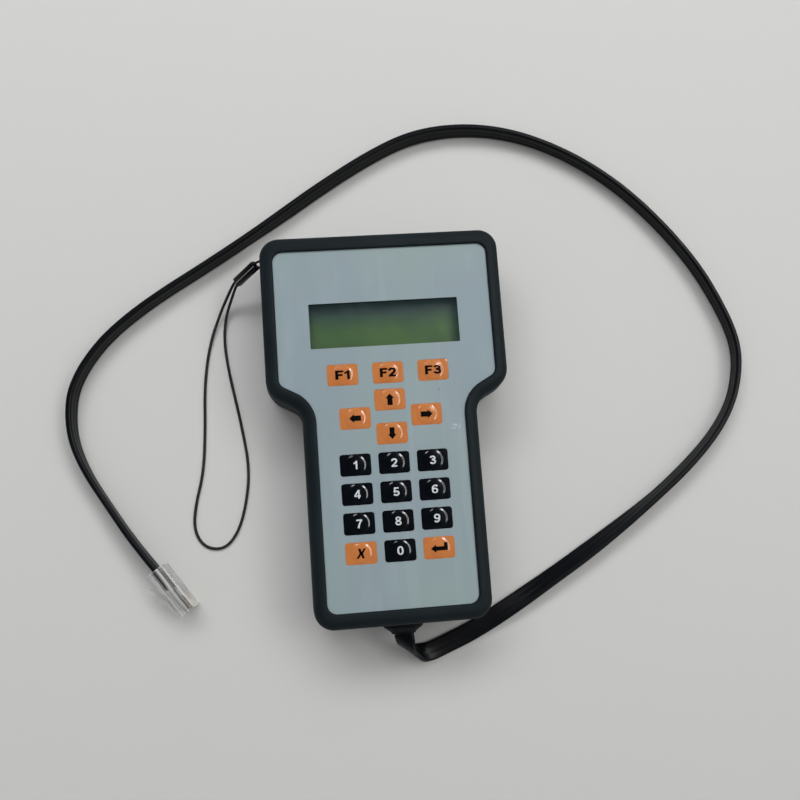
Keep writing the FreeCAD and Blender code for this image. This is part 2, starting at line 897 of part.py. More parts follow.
def route_path(name, points):
    edges = []
    radii = []
    start = points[0]
    for before, corner, after in zip(points, points[1:], points[2:]):
        back, ahead = before - corner, after - corner
        shorter = min(back.Length, ahead.Length)
        back.normalize()
        ahead.normalize()
        half_turn = (math.pi - back.getAngle(ahead)) / 2
        reach = arc_share * shorter
        radius = reach / math.tan(half_turn)
        middle = (back + ahead).normalize() * (radius / math.cos(half_turn) - radius)
        arc_start, arc_end = corner + back * reach, corner + ahead * reach
        edges.append(Part.LineSegment(start, arc_start).toShape())
        edges.append(Part.Arc(arc_start, corner + middle, arc_end).toShape())
        radii.append(round(radius, 1))
        start = arc_end
    edges.append(Part.LineSegment(start, points[-1]).toShape())
    print(name, "arc radii", radii)
    return Part.Wire(edges)


def tube(name, points, diameter):
    path = route_path(name, points)
    ring = Part.Wire(Part.makeCircle(diameter / 2, points[0], points[1] - points[0]))
    solid = path.makePipeShell([ring], True, False)
    section = math.pi * diameter ** 2 / 4
    print(name, "length", round(path.Length, 1), "volume share", round(solid.Volume / (section * path.Length), 4))
    return solid


def lying(diameter, *places):
    return [V(x, y, diameter / 2) for x, y in places]


def flat_cable():
    plug_axis = plug_place + V(0, 0, plug_width / 2)
    points = [V(0, grommet_tip_y, parting_height), V(0, -88.0, parting_height)]
    points += [V(0.6, -91.4, 11.5), V(3.5, -94.8, 5.5)]
    points += lying(
        cable_diameter,
        (12.5, -95.5), (29, -87.8), (50, -76), (90, -53), (128, -27.5), (151, -3.5), (159, 20),
        (156, 39), (140, 72), (107, 108.5), (67, 131), (28, 134), (-4, 121), (-60, 84), (-111, 54),
        (-131, 30), (-133.5, 10), (-128.5, -7), (-116, -27),
    )
    points += [V(-107.5, -40.6, plug_axis.z), plug_axis]
    return tube("flat_cable", points, cable_diameter)


def ferrule_near():
    x = -head_width / 2 - ferrule_near_gap
    return V(x, eye_y - ferrule_near_shift, eye_height - ferrule_near_drop)


def ferrule_along():
    return (ferrule_far - ferrule_near()).normalize()


def ferrule_side():
    # level step from the middle of the ferrule to one of its two strands
    return ferrule_along().cross(UP).normalize() * (strap_spacing / 2)


def strap_ferrule():
    near = ferrule_near()
    length = (ferrule_far - near).Length
    w, h = ferrule_width, ferrule_height
    body = prism(rectangle_wire(w, h, ferrule_round, 0, 0, 0), length)
    ends = edges_at(body, 0) + edges_at(body, length)
    body = body.makeFillet(ferrule_end_round, ends)
    along = ferrule_along()
    across = along.cross(UP).normalize()
    turn = FreeCAD.Rotation(across, along.cross(across), along)
    body.Placement = FreeCAD.Placement(near, turn)
    return body


def strap_tie():
    # short loop from the ferrule through the two holes of the strap eye
    inner_x = -head_width / 2 + wall + tie_diameter / 2 + tie_seat_gap
    middle_x = -head_width / 2 + wall / 2
    strands = []
    for y, side in zip(eye_places, (ferrule_side(), ferrule_side() * -1)):
        start = ferrule_near() + side
        strands.append([
            start, start - ferrule_along() * tie_lead,
            V(middle_x, y, eye_height), V(inner_x, y, eye_height),
        ])
    return tube("strap_tie", strands[0] + strands[1][::-1], tie_diameter)


def strap_loop():
    side = ferrule_side()
    lead = ferrule_along() * strap_lead
    points = [ferrule_far + side, ferrule_far + side + lead, V(-64.6, 62.4, 7.4), V(-69.2, 55.2, 2.2)]
    points += lying(
        strap_diameter,
        (-74.5, 42), (-77.5, 24), (-78, 5), (-79.5, -13), (-83.5, -27), (-84.5, -37), (-80.5, -44.5),
        (-72.5, -46), (-66.5, -40), (-62.5, -29), (-60, -13), (-62.5, 6), (-67, 30), (-68.3, 44),
    )
    points += [V(-66.8, 54.2, 1.6), V(-63.3, 61.0, 6.2), ferrule_far - side + lead, ferrule_far - side]
    return tube("strap_loop", points, strap_diameter)


def assembly():
    pieces = {
        "front_shell": front_shell(),
        "rear_shell": rear_shell(),
        "case_screws": case_screws(),
        "keypad_overlay": keypad_overlay(),
        "keypad_spacer": keypad_spacer(),
        "keypad_circuit": keypad_circuit(),
        "display_window": display_window(),
        "lcd_bezel": lcd_bezel(),
        "lcd_glass": lcd_filling((backlight_top, glass_top)),
        "lcd_backlight": lcd_filling((lcd_board_top, backlight_top)),
        "lcd_board": lcd_board(),
        "lcd_screws": small_screws(lcd_post_places, lcd_board_under, 1),
        "lcd_header": lcd_header(),
        "main_board": main_board(),
        "board_screws": small_screws(board_post_places, board_top, -1),
        "controller_chip": chip(controller_place, controller_size, controller_lead_reach),
        "line_driver": chip(driver_place, driver_size, driver_lead_reach),
        "regulator": regulator(),
        "capacitor": capacitor(),
        "crystal": crystal(),
        "contrast_trimmer": contrast_trimmer(),
        "keypad_connector": keypad_connector(),
        "lead_header": lead_header(),
        "lead_plug": lead_plug(),
        "lead_inside": lead_inside(),
        "cable_grommet": cable_grommet(),
        "flat_cable": flat_cable(),
        "strap_ferrule": strap_ferrule(),
        "strap_tie": strap_tie(),
        "strap_loop": strap_loop(),
    }
    for name, place in key_places().items():
        pieces[name] = key(place)
    for make in (plug_body, plug_contacts, plug_wires, plug_lead, plug_latch):
        pieces[make.__name__] = plug_in_place(make())
    return pieces


os.makedirs("parts", exist_ok=True)
for name, shape in assembly().items():
    shape.exportStep("parts/" + name + ".step")
    print(name, "solids", len(shape.Solids), "valid", shape.isValid(), "volume", round(shape.Volume, 1))
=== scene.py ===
import bpy
import bmesh
import json
from math import atan2, copysign, cos, degrees, hypot, pi, radians, sin, sqrt, tan
from mathutils import Matrix, Vector


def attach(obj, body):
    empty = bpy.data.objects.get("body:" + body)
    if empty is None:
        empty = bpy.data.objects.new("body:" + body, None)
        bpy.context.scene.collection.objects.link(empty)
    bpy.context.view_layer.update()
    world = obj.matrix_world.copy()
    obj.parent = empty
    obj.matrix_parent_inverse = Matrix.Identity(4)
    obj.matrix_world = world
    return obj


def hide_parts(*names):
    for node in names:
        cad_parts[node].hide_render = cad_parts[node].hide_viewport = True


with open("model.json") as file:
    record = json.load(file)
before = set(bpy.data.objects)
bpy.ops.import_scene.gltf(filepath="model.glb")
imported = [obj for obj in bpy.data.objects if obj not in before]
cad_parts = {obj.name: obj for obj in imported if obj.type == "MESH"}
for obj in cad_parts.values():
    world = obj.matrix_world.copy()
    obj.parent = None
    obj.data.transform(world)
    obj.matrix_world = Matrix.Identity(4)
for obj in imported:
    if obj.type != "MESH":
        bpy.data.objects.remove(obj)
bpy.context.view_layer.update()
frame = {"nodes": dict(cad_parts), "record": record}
scene = bpy.context.scene
scene.view_settings.view_transform = "Standard"
mm = 0.001
upright = Vector((0, 0, 1))
print("frame loaded:", len(frame["nodes"]), "nodes")


# sockets that do sums

def sums(operation):
    # an operator and its reflected form
    def plain(wire, other):
        return wire.look.node("Math", {"operation": operation}, {0: wire, 1: other})

    def reflected(wire, other):
        return wire.look.node("Math", {"operation": operation}, {0: other, 1: wire})
    return plain, reflected


class Wire:
    # an output socket; operators on it add Math nodes
    def __init__(self, look, socket):
        self.look = look
        self.socket = socket

    __add__, __radd__ = sums("ADD")
    __sub__, __rsub__ = sums("SUBTRACT")
    __mul__, __rmul__ = sums("MULTIPLY")
    __truediv__, __rtruediv__ = sums("DIVIDE")
    __pow__, __rpow__ = sums("POWER")

    def __abs__(self):
        return self.look.node("Math", {"operation": "ABSOLUTE"}, {0: self})


class Look:
    # the nodes of one material, or of the world
    def __init__(self, owner, end="ShaderNodeOutputMaterial"):
        owner.use_nodes = True
        self.owner = owner
        self.tree = owner.node_tree
        self.tree.nodes.clear()
        self.output = self.tree.nodes.new(end)
        self.places = {}

    def node(self, kind, settings=None, links=None, out=0):
        made = self.tree.nodes.new("ShaderNode" + kind)
        for name, value in (settings or {}).items():
            if name == "stops":
                self.setStops(made.color_ramp, value)
            else:
                setattr(made, name, value)
        for name, value in (links or {}).items():
            if isinstance(value, Wire):
                self.tree.links.new(value.socket, made.inputs[name])
            else:
                made.inputs[name].default_value = value
        return Wire(self, made.outputs[out])

    def setStops(self, ramp, stops):
        while len(ramp.elements) < len(stops):
            ramp.elements.new(1.0)
        for element, (position, colour) in zip(ramp.elements, stops):
            element.position = position
            element.color = colour

    def place(self):
        if "object" not in self.places:
            self.places["object"] = self.node("TexCoord", out="Object")
        return self.places["object"]

    def axis(self, letter):
        if letter not in self.places:
            self.places[letter] = self.node("SeparateXYZ", None, {0: self.place()}, out="XYZ".index(letter))
        return self.places[letter]

    def noise(self, size, detail=2.0, stretch=None):
        # soft noise whose blots are about size metres across
        at = self.place()
        if stretch:
            at = self.node("VectorMath", {"operation": "MULTIPLY"}, {0: at, 1: stretch})
        return self.node("TexNoise", None, {"Vector": at, "Scale": 1 / size, "Detail": detail})

    def step(self, value, low, high):
        # 0 below low, 1 above high, smooth between
        settings = {"interpolation_type": "SMOOTHSTEP"}
        return self.node("MapRange", settings, {"Value": value, "From Min": low, "From Max": high})

    def blots(self, size, detail, low, high, stretch=None):
        # noise cut down to its blots
        return self.step(self.noise(size, detail, stretch), low, high)

    def reach(self, spot, stretch):
        # distance from a spot on the front, in X and Y
        sides = [(self.axis(letter) - at) * share for letter, at, share in zip("XY", spot, stretch)]
        return (sides[0] * sides[0] + sides[1] * sides[1]) ** 0.5

    def spot(self, at, stretch, inner, outer):
        # 1 on a spot on the front, 0 away from it
        return 1 - self.step(self.reach(at, stretch), inner, outer)

    def mix(self, share, first, second):
        return self.node("Mix", {"data_type": "RGBA"}, {0: share, 6: first, 7: second}, out=2)

    def bump(self, height, strength, distance):
        return self.node("Bump", None, {"Height": height, "Strength": strength, "Distance": distance})

    def grain(self, size, detail, strength, depth):
        return self.bump(self.noise(size, detail), strength, depth)

    def rough(self, base, spread, size, detail):
        return base + spread * self.noise(size, detail)

    def surface(self, colour, roughness, shine=0.5, **sockets):
        links = {"Base Color": colour, "Roughness": roughness, "Specular IOR Level": shine}
        for name, value in sockets.items():
            links[name.replace("_", " ")] = value
        return self.finish(self.node("BsdfPrincipled", None, links))

    def finish(self, shader):
        self.tree.links.new(shader.socket, self.output.inputs["Surface"])
        return self.owner


def newLook(name):
    return Look(bpy.data.materials.new(name))


def tone(red, green, blue):
    def linear(value):
        value = value / 255
        return value / 12.92 if value <= 0.04045 else ((value + 0.055) / 1.055) ** 2.4
    return (linear(red), linear(green), linear(blue), 1.0)


# finishes

# blots have a size, a detail, where they start, where they are full and sometimes a stretch,
# a grain has a size, a detail, a strength and a depth,
# and roughness has a base, a spread, and the size and detail of its changes

casePlastic = {
    "black": tone(14, 25, 29), "dusty": tone(22, 34, 38), "dustShare": 0.55,
    "fleck": tone(66, 71, 73), "fleckShare": 0.5, "cloud": (24 * mm, 4, 0.42, 0.7),
    "flecks": (0.55 * mm, 1, 0.77, 0.81), "patches": (9 * mm, 2, 0.5, 0.62),
    "grain": (0.32 * mm, 3, 0.3, 0.04 * mm), "rough": (0.58, 0.12, 6 * mm, 3), "shine": 0.17,
}
cableJacket = {
    "black": tone(7, 9, 13), "dusty": tone(14, 17, 22), "dustShare": 0.6,
    "fleck": tone(84, 84, 84), "fleckShare": 0.3, "cloud": (14 * mm, 4, 0.42, 0.7),
    "flecks": (0.7 * mm, 2, 0.7, 0.78), "patches": (22 * mm, 2, 0.5, 0.65),
    "grain": (1.1 * mm, 3, 0.12, 0.05 * mm), "rough": (0.34, 0.1, 5 * mm, 3), "shine": 0.15,
}


def makeFlecked(name, f):
    # black with dusty clouds, and with flecks in patches
    look = newLook(name)
    body = look.mix(look.blots(*f["cloud"]) * f["dustShare"], f["black"], f["dusty"])
    flecks = look.blots(*f["flecks"]) * look.blots(*f["patches"])
    colour = look.mix(flecks * f["fleckShare"], body, f["fleck"])
    return look.surface(colour, look.rough(*f["rough"]), f["shine"], Normal=look.grain(*f["grain"]))


panelFoil = {
    "grey": tone(143, 158, 166), "green": tone(146, 163, 164), "pale": tone(158, 171, 178),
    "scuffed": tone(205, 214, 217), "tick": tone(96, 108, 116), "shine": 0.2,
    "drift": (34 * mm, 2, 0.35, 0.68, (1.0, 0.55, 1.0)), "smear": (11 * mm, 4, 0.5, 0.78, (1.0, 0.3, 1.0)),
    "streak": (5 * mm, 2, 0.56, 0.72, (1.0, 0.05, 1.0)), "scuff": (1.3 * mm, 2, 0.74, 0.8, (1.0, 0.5, 1.0)),
    "patches": (16 * mm, 1, 0.6, 0.68), "rub": (0.8 * mm, 2, 0.46, 0.58, (1.0, 0.8, 1.0)),
    "grain": (0.4 * mm, 2, 0.12, 0.02 * mm),
    # a rubbed spot and a small dark one: place, stretch, where the edge starts and ends
    "rubSpot": ((26.0 * mm, -2.5 * mm), (1.0, 2.0), 1.2 * mm, 3.0 * mm),
    "tickSpot": ((20.3 * mm, 13.0 * mm), (1.0, 0.4), 0.1 * mm, 0.4 * mm),
}


def makePanelFoil():
    look = newLook("panelFoil")
    f = panelFoil
    smear = look.blots(*f["smear"])
    scuff = look.blots(*f["scuff"]) * look.blots(*f["patches"])
    rub = look.spot(*f["rubSpot"]) * look.blots(*f["rub"])
    body = look.mix(look.blots(*f["drift"]), f["grey"], f["green"])
    body = look.mix(smear * 0.35, body, f["pale"])
    body = look.mix(look.blots(*f["streak"]) * 0.3, body, f["pale"])
    colour = look.mix(scuff * 0.5 + rub * 0.75, body, f["scuffed"])
    colour = look.mix(look.spot(*f["tickSpot"]) * 0.5, colour, f["tick"])
    return look.surface(colour, 0.42 + 0.16 * smear, f["shine"], Normal=look.grain(*f["grain"]))


keyFoil = {
    "cloud": (5 * mm, 3, 0.4, 0.72), "grain": (1.2 * mm, 2, 0.05, 0.01 * mm), "shine": 0.08,
    "coat": 0.8, "coatRoughness": 0.05,
}


def makeKeyFoil(name, body, worn, roughness):
    look = newLook(name)
    k = keyFoil
    colour = look.mix(look.blots(*k["cloud"]) * 0.4, body, worn)
    return look.surface(
        colour, look.rough(roughness, 0.08, 2.5 * mm, 3), k["shine"], Normal=look.grain(*k["grain"]),
        Coat_Weight=k["coat"], Coat_Roughness=k["coatRoughness"],
    )


inkFilm = {"rub": (0.7 * mm, 3, 0.55, 0.8), "rough": (0.45, 0.1, 1.5 * mm, 2), "shine": 0.04}


def makeInk(name, body, thin):
    look = newLook(name)
    colour = look.mix(look.blots(*inkFilm["rub"]) * 0.35, body, thin)
    return look.surface(colour, look.rough(*inkFilm["rough"]), inkFilm["shine"])


lcdFace = {
    "green": tone(66, 99, 48), "bright": tone(75, 108, 49), "shade": tone(38, 63, 64), "shine": 0.3,
    "middle": 41.5 * mm, "half": 9.3 * mm, "cloud": (15 * mm, 2, 0.4, 0.65), "drift": 20 * mm,
    # painted shade, where the window's edge shades the face: its start and full depth, up the face in half
    # heights, and towards its right end
    "paintedShadeUp": (-0.35, 0.9), "paintedShadeRight": (24 * mm, 31 * mm), "rough": (0.3, 0.1, 4 * mm, 2),
}


def makeLcdFace():
    look = newLook("lcdFace")
    f = lcdFace
    rise = (look.axis("Y") - f["middle"]) / f["half"]
    drift = look.noise(f["drift"], 2) * 0.5 - 0.25
    body = look.mix(look.blots(*f["cloud"]), f["green"], f["bright"])
    # painted shade: darker towards the top and towards the right end, as if shaded by the window's edge
    colour = look.mix(look.step(rise + drift, *f["paintedShadeUp"]), body, f["shade"])
    colour = look.mix(look.step(look.axis("X"), *f["paintedShadeRight"]) * 0.5, colour, f["shade"])
    return look.surface(colour, look.rough(*f["rough"]), f["shine"])


clearPane = {
    "grey": tone(98, 118, 120), "pale": tone(118, 138, 140), "smear": (9 * mm, 4, 0.5, 0.75), "shine": 0.4,
}


def makeClearPane():
    look = newLook("clearPane")
    p = clearPane
    smear = look.blots(*p["smear"])
    colour = look.mix(smear * 0.5, p["grey"], p["pale"])
    return look.surface(colour, 0.05 + 0.06 * smear, p["shine"], Alpha=0.07 + 0.03 * smear)


# two tones, size of the blots in millimetres, roughness, metallic, strength of the grain, shine
plainStuffs = {
    "clear_film": ((214, 217, 212), (200, 204, 200), 8, 0.4),
    "black_metal": ((20, 22, 24), (28, 30, 32), 6, 0.45),
    "white_plastic": ((222, 219, 208), (208, 205, 194), 4, 0.45),
    "screw_steel": ((168, 170, 172), (142, 144, 147), 1.2, 0.28, 1.0, 0.2),
    "black_plastic": ((19, 20, 22), (28, 29, 31), 3, 0.34),
    "can_metal": ((186, 188, 191), (164, 166, 170), 3, 0.25, 1.0),
    "grommet_rubber": ((8, 11, 15), (14, 17, 21), 5, 0.5, 0.0, 0.25, 0.15),
    "contact_gold": ((214, 176, 96), (190, 148, 74), 1.5, 0.22, 1.0),
    "wire_plastic": ((112, 108, 102), (70, 68, 66), 1.1, 0.4),
}


def makePlain(name, body, other, size, roughness, metallic=0.0, grain=0.1, shine=0.5):
    # moulded, sheet or plated, with a soft change of tone and a fine grain
    look = newLook(name)
    size = size * mm
    colour = look.mix(look.blots(size, 3, 0.38, 0.7), tone(*body), tone(*other))
    normal = look.grain(size / 8, 2, grain, 0.02 * mm)
    rough = look.rough(roughness, 0.12, size / 3, 2)
    return look.surface(colour, rough, shine, Metallic=metallic, Normal=normal)


board = {
    "mask": tone(18, 74, 40), "bright": tone(24, 88, 48), "track": tone(48, 122, 70),
    "cloud": (12 * mm, 2, 0.4, 0.7), "trackWidth": 0.28 * mm, "trackLength": 5 * mm, "trackRow": 1.6 * mm,
    "rough": (0.3, 0.1, 3 * mm, 2),
}


def makeBoard():
    look = newLook("boardGreen")
    b = board
    rows = {
        "Vector": look.place(), "Scale": 1.0, "Mortar Size": b["trackWidth"],
        "Brick Width": b["trackLength"], "Row Height": b["trackRow"],
    }
    tracks = look.node("TexBrick", {"offset": 0.5}, rows, out="Fac")
    body = look.mix(look.blots(*b["cloud"]), b["mask"], b["bright"])
    colour = look.mix(tracks * 0.5, body, b["track"])
    return look.surface(colour, look.rough(*b["rough"]), Normal=look.bump(tracks, 0.25, 0.04 * mm))


# drawn along +X from its rear face, contacts towards +Y, latch towards -Y, in millimetres
plug = {
    "place": (-99.4, -52.0, 5.85), "heading": -54.7, "length": 21.5, "half": 4.0, "wide": 5.85,
    "nose": -2.5, "hood": 8.5, "ramp": 10.0, "corner": 0.4, "bevel": 0.35, "contacts": 8, "pitch": 1.02,
    "slot": 0.5, "slotFrom": 14.7, "slotFloor": 1.7, "cavity": (11.0, 1.5, 4.05), "jacket": 10.0,
    # how far the cuts reach out of the body, and steps of its rounds
    "spare": 1.0, "cornerSteps": 4, "bevelSteps": 3,
}
plugHazeAndEdgeHighlight = {
    "grey": tone(178, 180, 178), "white": tone(254, 254, 252), "shine": 0.7,
    # flow lines: their width, how they are drawn out along and up the plug, where they start and are full
    "line": 0.7 * mm, "along": 0.02, "up": 0.05, "lines": (0.4, 0.66),
    # across the plug: the hazy side, and the two sides of the lead inside
    "hazy": (-0.4 * mm, 0.2 * mm), "leadFrom": (-1.7 * mm, -1.4 * mm), "leadTo": (-0.5 * mm, 0.1 * mm),
    # a painted white highlight along the edges: its soft start and full strength, in millimetres from the
    # face
    "edge": (0.5, 0.2),
}


def makeClearPlug():
    # see-through plastic whose walls add up to a bright haze, with flow lines along the plug and a painted
    # white highlight along its edges
    look = newLook("clearPlug")
    h = plugHazeAndEdgeHighlight
    turn = radians(plug["heading"])
    x, y, z = [look.axis(letter) - at * mm for letter, at in zip("XYZ", plug["place"])]
    along = x * cos(turn) + y * sin(turn)
    across = y * cos(turn) - x * sin(turn)
    flow = look.node("CombineXYZ", None, {0: along * h["along"], 1: across, 2: look.axis("Z") * h["up"]})
    lines = look.node("TexNoise", None, {"Vector": flow, "Scale": 1 / h["line"], "Detail": 2.0})
    haze = look.step(lines, *h["lines"])
    # hazy on the contacts' side, clear over the edge of the lead inside
    cloud = 0.6 + 0.4 * look.step(across, *h["hazy"])
    inside = look.step(across, *h["leadFrom"]) * (1 - look.step(across, *h["leadTo"]))
    inside = inside * (1 - look.step(along, plug["jacket"] * 0.85 * mm, plug["jacket"] * mm))
    # painted highlight: the edges, where two faces meet, are painted white and less clear
    middle = plug["length"] / 2
    faces = [(abs(z), plug["wide"]), (abs(across), plug["half"]), (abs(along - middle * mm), middle)]
    near = [look.step(off, *[(reach - back) * mm for back in h["edge"]]) for off, reach in faces]
    edge = look.step(near[0] + near[1] + near[2], 1.4, 1.9)
    alpha = 0.02 + (0.12 + 0.34 * haze) * cloud * (1 - inside) + 0.3 * edge
    return look.surface(
        look.mix(haze, h["grey"], h["white"]), 0.05 + 0.06 * haze, h["shine"], Alpha=alpha,
        Coat_Weight=1.0, Coat_Roughness=0.04, Coat_IOR=1.6,
    )


# sleeve where both ends of the strap are held, in millimetres
ferrule = {
    "near": (-52.0, 70.6, 19.7), "far": (-60.3, 66.0, 12.0), "width": 4.1, "height": 3.1, "corner": 0.9,
    "endRound": 0.3, "endSteps": 4, "reach": 0.5,
}
sleeveBlack = {
    "black": tone(7, 8, 10), "paintedHighlight": tone(150, 153, 156), "shine": 0.3,
    # the painted highlight line's place across the sleeve, its soft edge, and the upper side that it is on
    "line": -0.35 * mm, "highlightEdge": (0.1 * mm, 0.22 * mm), "upper": (-1.3 * mm, -1.1 * mm),
}


def ferruleAxes():
    near, far = Vector(ferrule["near"]), Vector(ferrule["far"])
    along = (far - near).normalized()
    across = along.cross(upright).normalized()
    return near, far, along, across, along.cross(across)


def makeSleeve():
    # glossy black, with a painted pale highlight line down the middle of its upper side
    look = newLook("sleeveBlack")
    s = sleeveBlack
    near, _, _, across, over = ferruleAxes()
    at = look.node("VectorMath", {"operation": "SUBTRACT"}, {0: look.place(), 1: near * mm})
    dot = {"operation": "DOT_PRODUCT"}
    side, low = [look.node("VectorMath", dot, {0: at, 1: way}, out="Value") for way in (across, over)]
    # painted highlight: a pale line where the glossy sleeve would mirror a light
    line = (1 - look.step(abs(side - s["line"]), *s["highlightEdge"])) * (1 - look.step(low, *s["upper"]))
    line = line * (0.55 + 0.45 * look.noise(1.5 * mm, 2))
    return look.surface(look.mix(line, s["black"], s["paintedHighlight"]), 0.25 + 0.2 * line, s["shine"])


strapBraid = {"black": tone(7, 8, 10), "rib": tone(20, 21, 24), "ribSize": 1.1 * mm}


def makeStrapBraid():
    look = newLook("strapBraid")
    weave = look.node(
        "TexWave", {"wave_type": "BANDS", "bands_direction": "DIAGONAL"},
        {"Vector": look.place(), "Scale": 1 / strapBraid["ribSize"], "Distortion": 0.6}, out="Fac",
    )
    colour = look.mix(weave, strapBraid["black"], strapBraid["rib"])
    return look.surface(colour, 0.6 + 0.15 * weave, Normal=look.bump(weave, 0.4, 0.08 * mm))


looks = {
    "case_plastic": makeFlecked("casePlastic", casePlastic),
    "panel_foil": makePanelFoil(),
    "key_orange": makeKeyFoil("keyOrange", tone(201, 124, 68), tone(189, 109, 56), 0.22),
    "key_black": makeKeyFoil("keyBlack", tone(5, 10, 16), tone(10, 16, 23), 0.2),
    "ink_black": makeInk("inkBlack", tone(5, 4, 4), tone(16, 11, 9)),
    "ink_white": makeInk("inkWhite", tone(208, 212, 214), tone(172, 178, 182)),
    "clear_pane": makeClearPane(),
    "lcd_green": makeLcdFace(),
    "board_green": makeBoard(),
    "lead_jacket": makeFlecked("cableJacket", cableJacket),
    "plug_clear": makeClearPlug(),
    "sleeve_black": makeSleeve(),
    "strap_cord": makeStrapBraid(),
}
for slot, settings in plainStuffs.items():
    first, second = slot.split("_")
    looks[slot] = makePlain(first + second.capitalize(), *settings)
for part in frame["record"]["subparts"]:
    node = frame["nodes"][part["node"]]
    node.data.materials.clear()
    node.data.materials.append(looks[part["material_slot"]])
print("finishes made:", len(looks))


# mesh helpers, in millimetres until a piece is made

sharpAngle = 35
weldReach = 1e-5


def show(name, data):
    holder = bpy.data.objects.new(name, data)
    scene.collection.objects.link(holder)
    return holder


def makePiece(name, mesh, finishes, sharp=sharpAngle):
    # mesh is a bmesh in millimetres
    bmesh.ops.remove_doubles(mesh, verts=mesh.verts, dist=weldReach)
    bmesh.ops.recalc_face_normals(mesh, faces=mesh.faces)
    bmesh.ops.scale(mesh, vec=(mm, mm, mm), verts=mesh.verts)
    data = bpy.data.meshes.new(name)
    mesh.to_mesh(data)
    mesh.free()
    for finish in finishes:
        data.materials.append(looks[finish])
    data.shade_smooth()
    data.set_sharp_from_angle(angle=radians(sharp))
    return show(name, data)


def stand(piece, body, slot, *nodes):
    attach(piece, body)
    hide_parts(*nodes)
    return piece


def addLoop(mesh, points):
    return [mesh.verts.new(point) for point in points]


def bridge(mesh, lower, upper):
    count = len(lower)
    for i in range(count):
        j = (i + 1) % count
        mesh.faces.new((lower[i], lower[j], upper[j], upper[i]))


def bridgeAll(mesh, loops):
    for lower, upper in zip(loops, loops[1:]):
        bridge(mesh, lower, upper)


def tubeOf(rings):
    # a new mesh with walls from ring to ring and a face at each end
    mesh = bmesh.new()
    loops = [addLoop(mesh, points) for points in rings]
    bridgeAll(mesh, loops)
    mesh.faces.new(loops[0])
    mesh.faces.new(loops[-1])
    return mesh


def fillBetween(mesh, *loops):
    # flat face with holes between closed loops
    edges = []
    for loop in loops:
        for i in range(len(loop)):
            pair = (loop[i - 1], loop[i])
            edges.append(mesh.edges.get(pair) or mesh.edges.new(pair))
    bmesh.ops.triangle_fill(mesh, use_beauty=True, use_dissolve=False, edges=edges)


def carve(piece, cutters, operation="DIFFERENCE"):
    # cuts plain solids out of a piece, or joins them to it, and keeps the result as its mesh
    for cutter in cutters:
        modifier = piece.modifiers.new("carve", "BOOLEAN")
        modifier.operation = operation
        modifier.solver = "EXACT"
        modifier.object = cutter
    shown = piece.evaluated_get(bpy.context.evaluated_depsgraph_get())
    data = bpy.data.meshes.new_from_object(shown)
    piece.modifiers.clear()
    piece.data = data
    data.set_sharp_from_angle(angle=radians(sharpAngle))
    for cutter in cutters:
        bpy.data.objects.remove(cutter)


def cutterRod(radius, start, end, sides=32):
    way = Vector(end) - Vector(start)
    mesh = bmesh.new()
    turn = way.to_track_quat("Z", "Y").to_matrix().to_4x4()
    place = Matrix.Translation((Vector(start) + Vector(end)) / 2) @ turn
    bmesh.ops.create_cone(
        mesh, cap_ends=True, segments=sides, radius1=radius, radius2=radius, depth=way.length, matrix=place,
    )
    return makePiece("cutter", mesh, ["case_plastic"])


# outlines

def insetCorners(corners, insets):
    # moves each side of an anticlockwise outline inwards
    count = len(corners)
    lines = []
    for i in range(count):
        start, end = Vector(corners[i]), Vector(corners[(i + 1) % count])
        along = (end - start).normalized()
        lines.append((start + Vector((-along.y, along.x)) * insets[i], along))
    moved = []
    for i in range(count):
        (a, u), (b, w) = lines[i - 1], lines[i]
        gap = b - a
        moved.append(a + u * ((gap.x * w.y - gap.y * w.x) / (u.x * w.y - u.y * w.x)))
    return moved


def roundLoop(corners, radii, z, steps):
    points = []
    for i, radius in enumerate(radii):
        corner = Vector(corners[i])
        back = (Vector(corners[i - 1]) - corner).normalized()
        ahead = (Vector(corners[(i + 1) % len(corners)]) - corner).normalized()
        half = back.angle(ahead) / 2
        centre = corner + (back + ahead).normalized() * (radius / sin(half))
        ends = [corner + way * (radius / tan(half)) - centre for way in (back, ahead)]
        first, last = [degrees(atan2(end.y, end.x)) for end in ends]
        last = first + (last - first + 180) % 360 - 180
        points += [(x, y, z) for x, y in arc(centre, radius, first, last, steps)]
    return points


def roundBox(size, margin, x, y, z, steps=5):
    # a rounded rectangle, made larger all round by a margin
    w, h = size["width"] / 2 + margin, size["height"] / 2 + margin
    corners = [(x + w, y - h), (x + w, y + h), (x - w, y + h), (x - w, y - h)]
    return roundLoop(corners, [size["corner"] + margin] * 4, z, steps)


def stadium(half, low, y, z, steps=10):
    points = arc((half - low, z), low, -90, 90, steps) + arc((low - half, z), low, 90, 270, steps)
    return [(x, y, rise) for x, rise in points]


def roundedEnds(length, radius, steps):
    # insets and heights of the sections of a bar whose ends are rounded
    lower = arc((radius, radius), radius, 270, 180, steps)
    return lower + [(inset, length - z) for inset, z in reversed(lower)]


def arc(centre, radius, first, last, steps):
    # points of an arc in two directions, often (inset, height), angles in degrees
    spots = []
    for k in range(steps + 1):
        angle = radians(first + (last - first) * k / steps)
        spots.append((centre[0] + radius * cos(angle), centre[1] + radius * sin(angle)))
    return spots


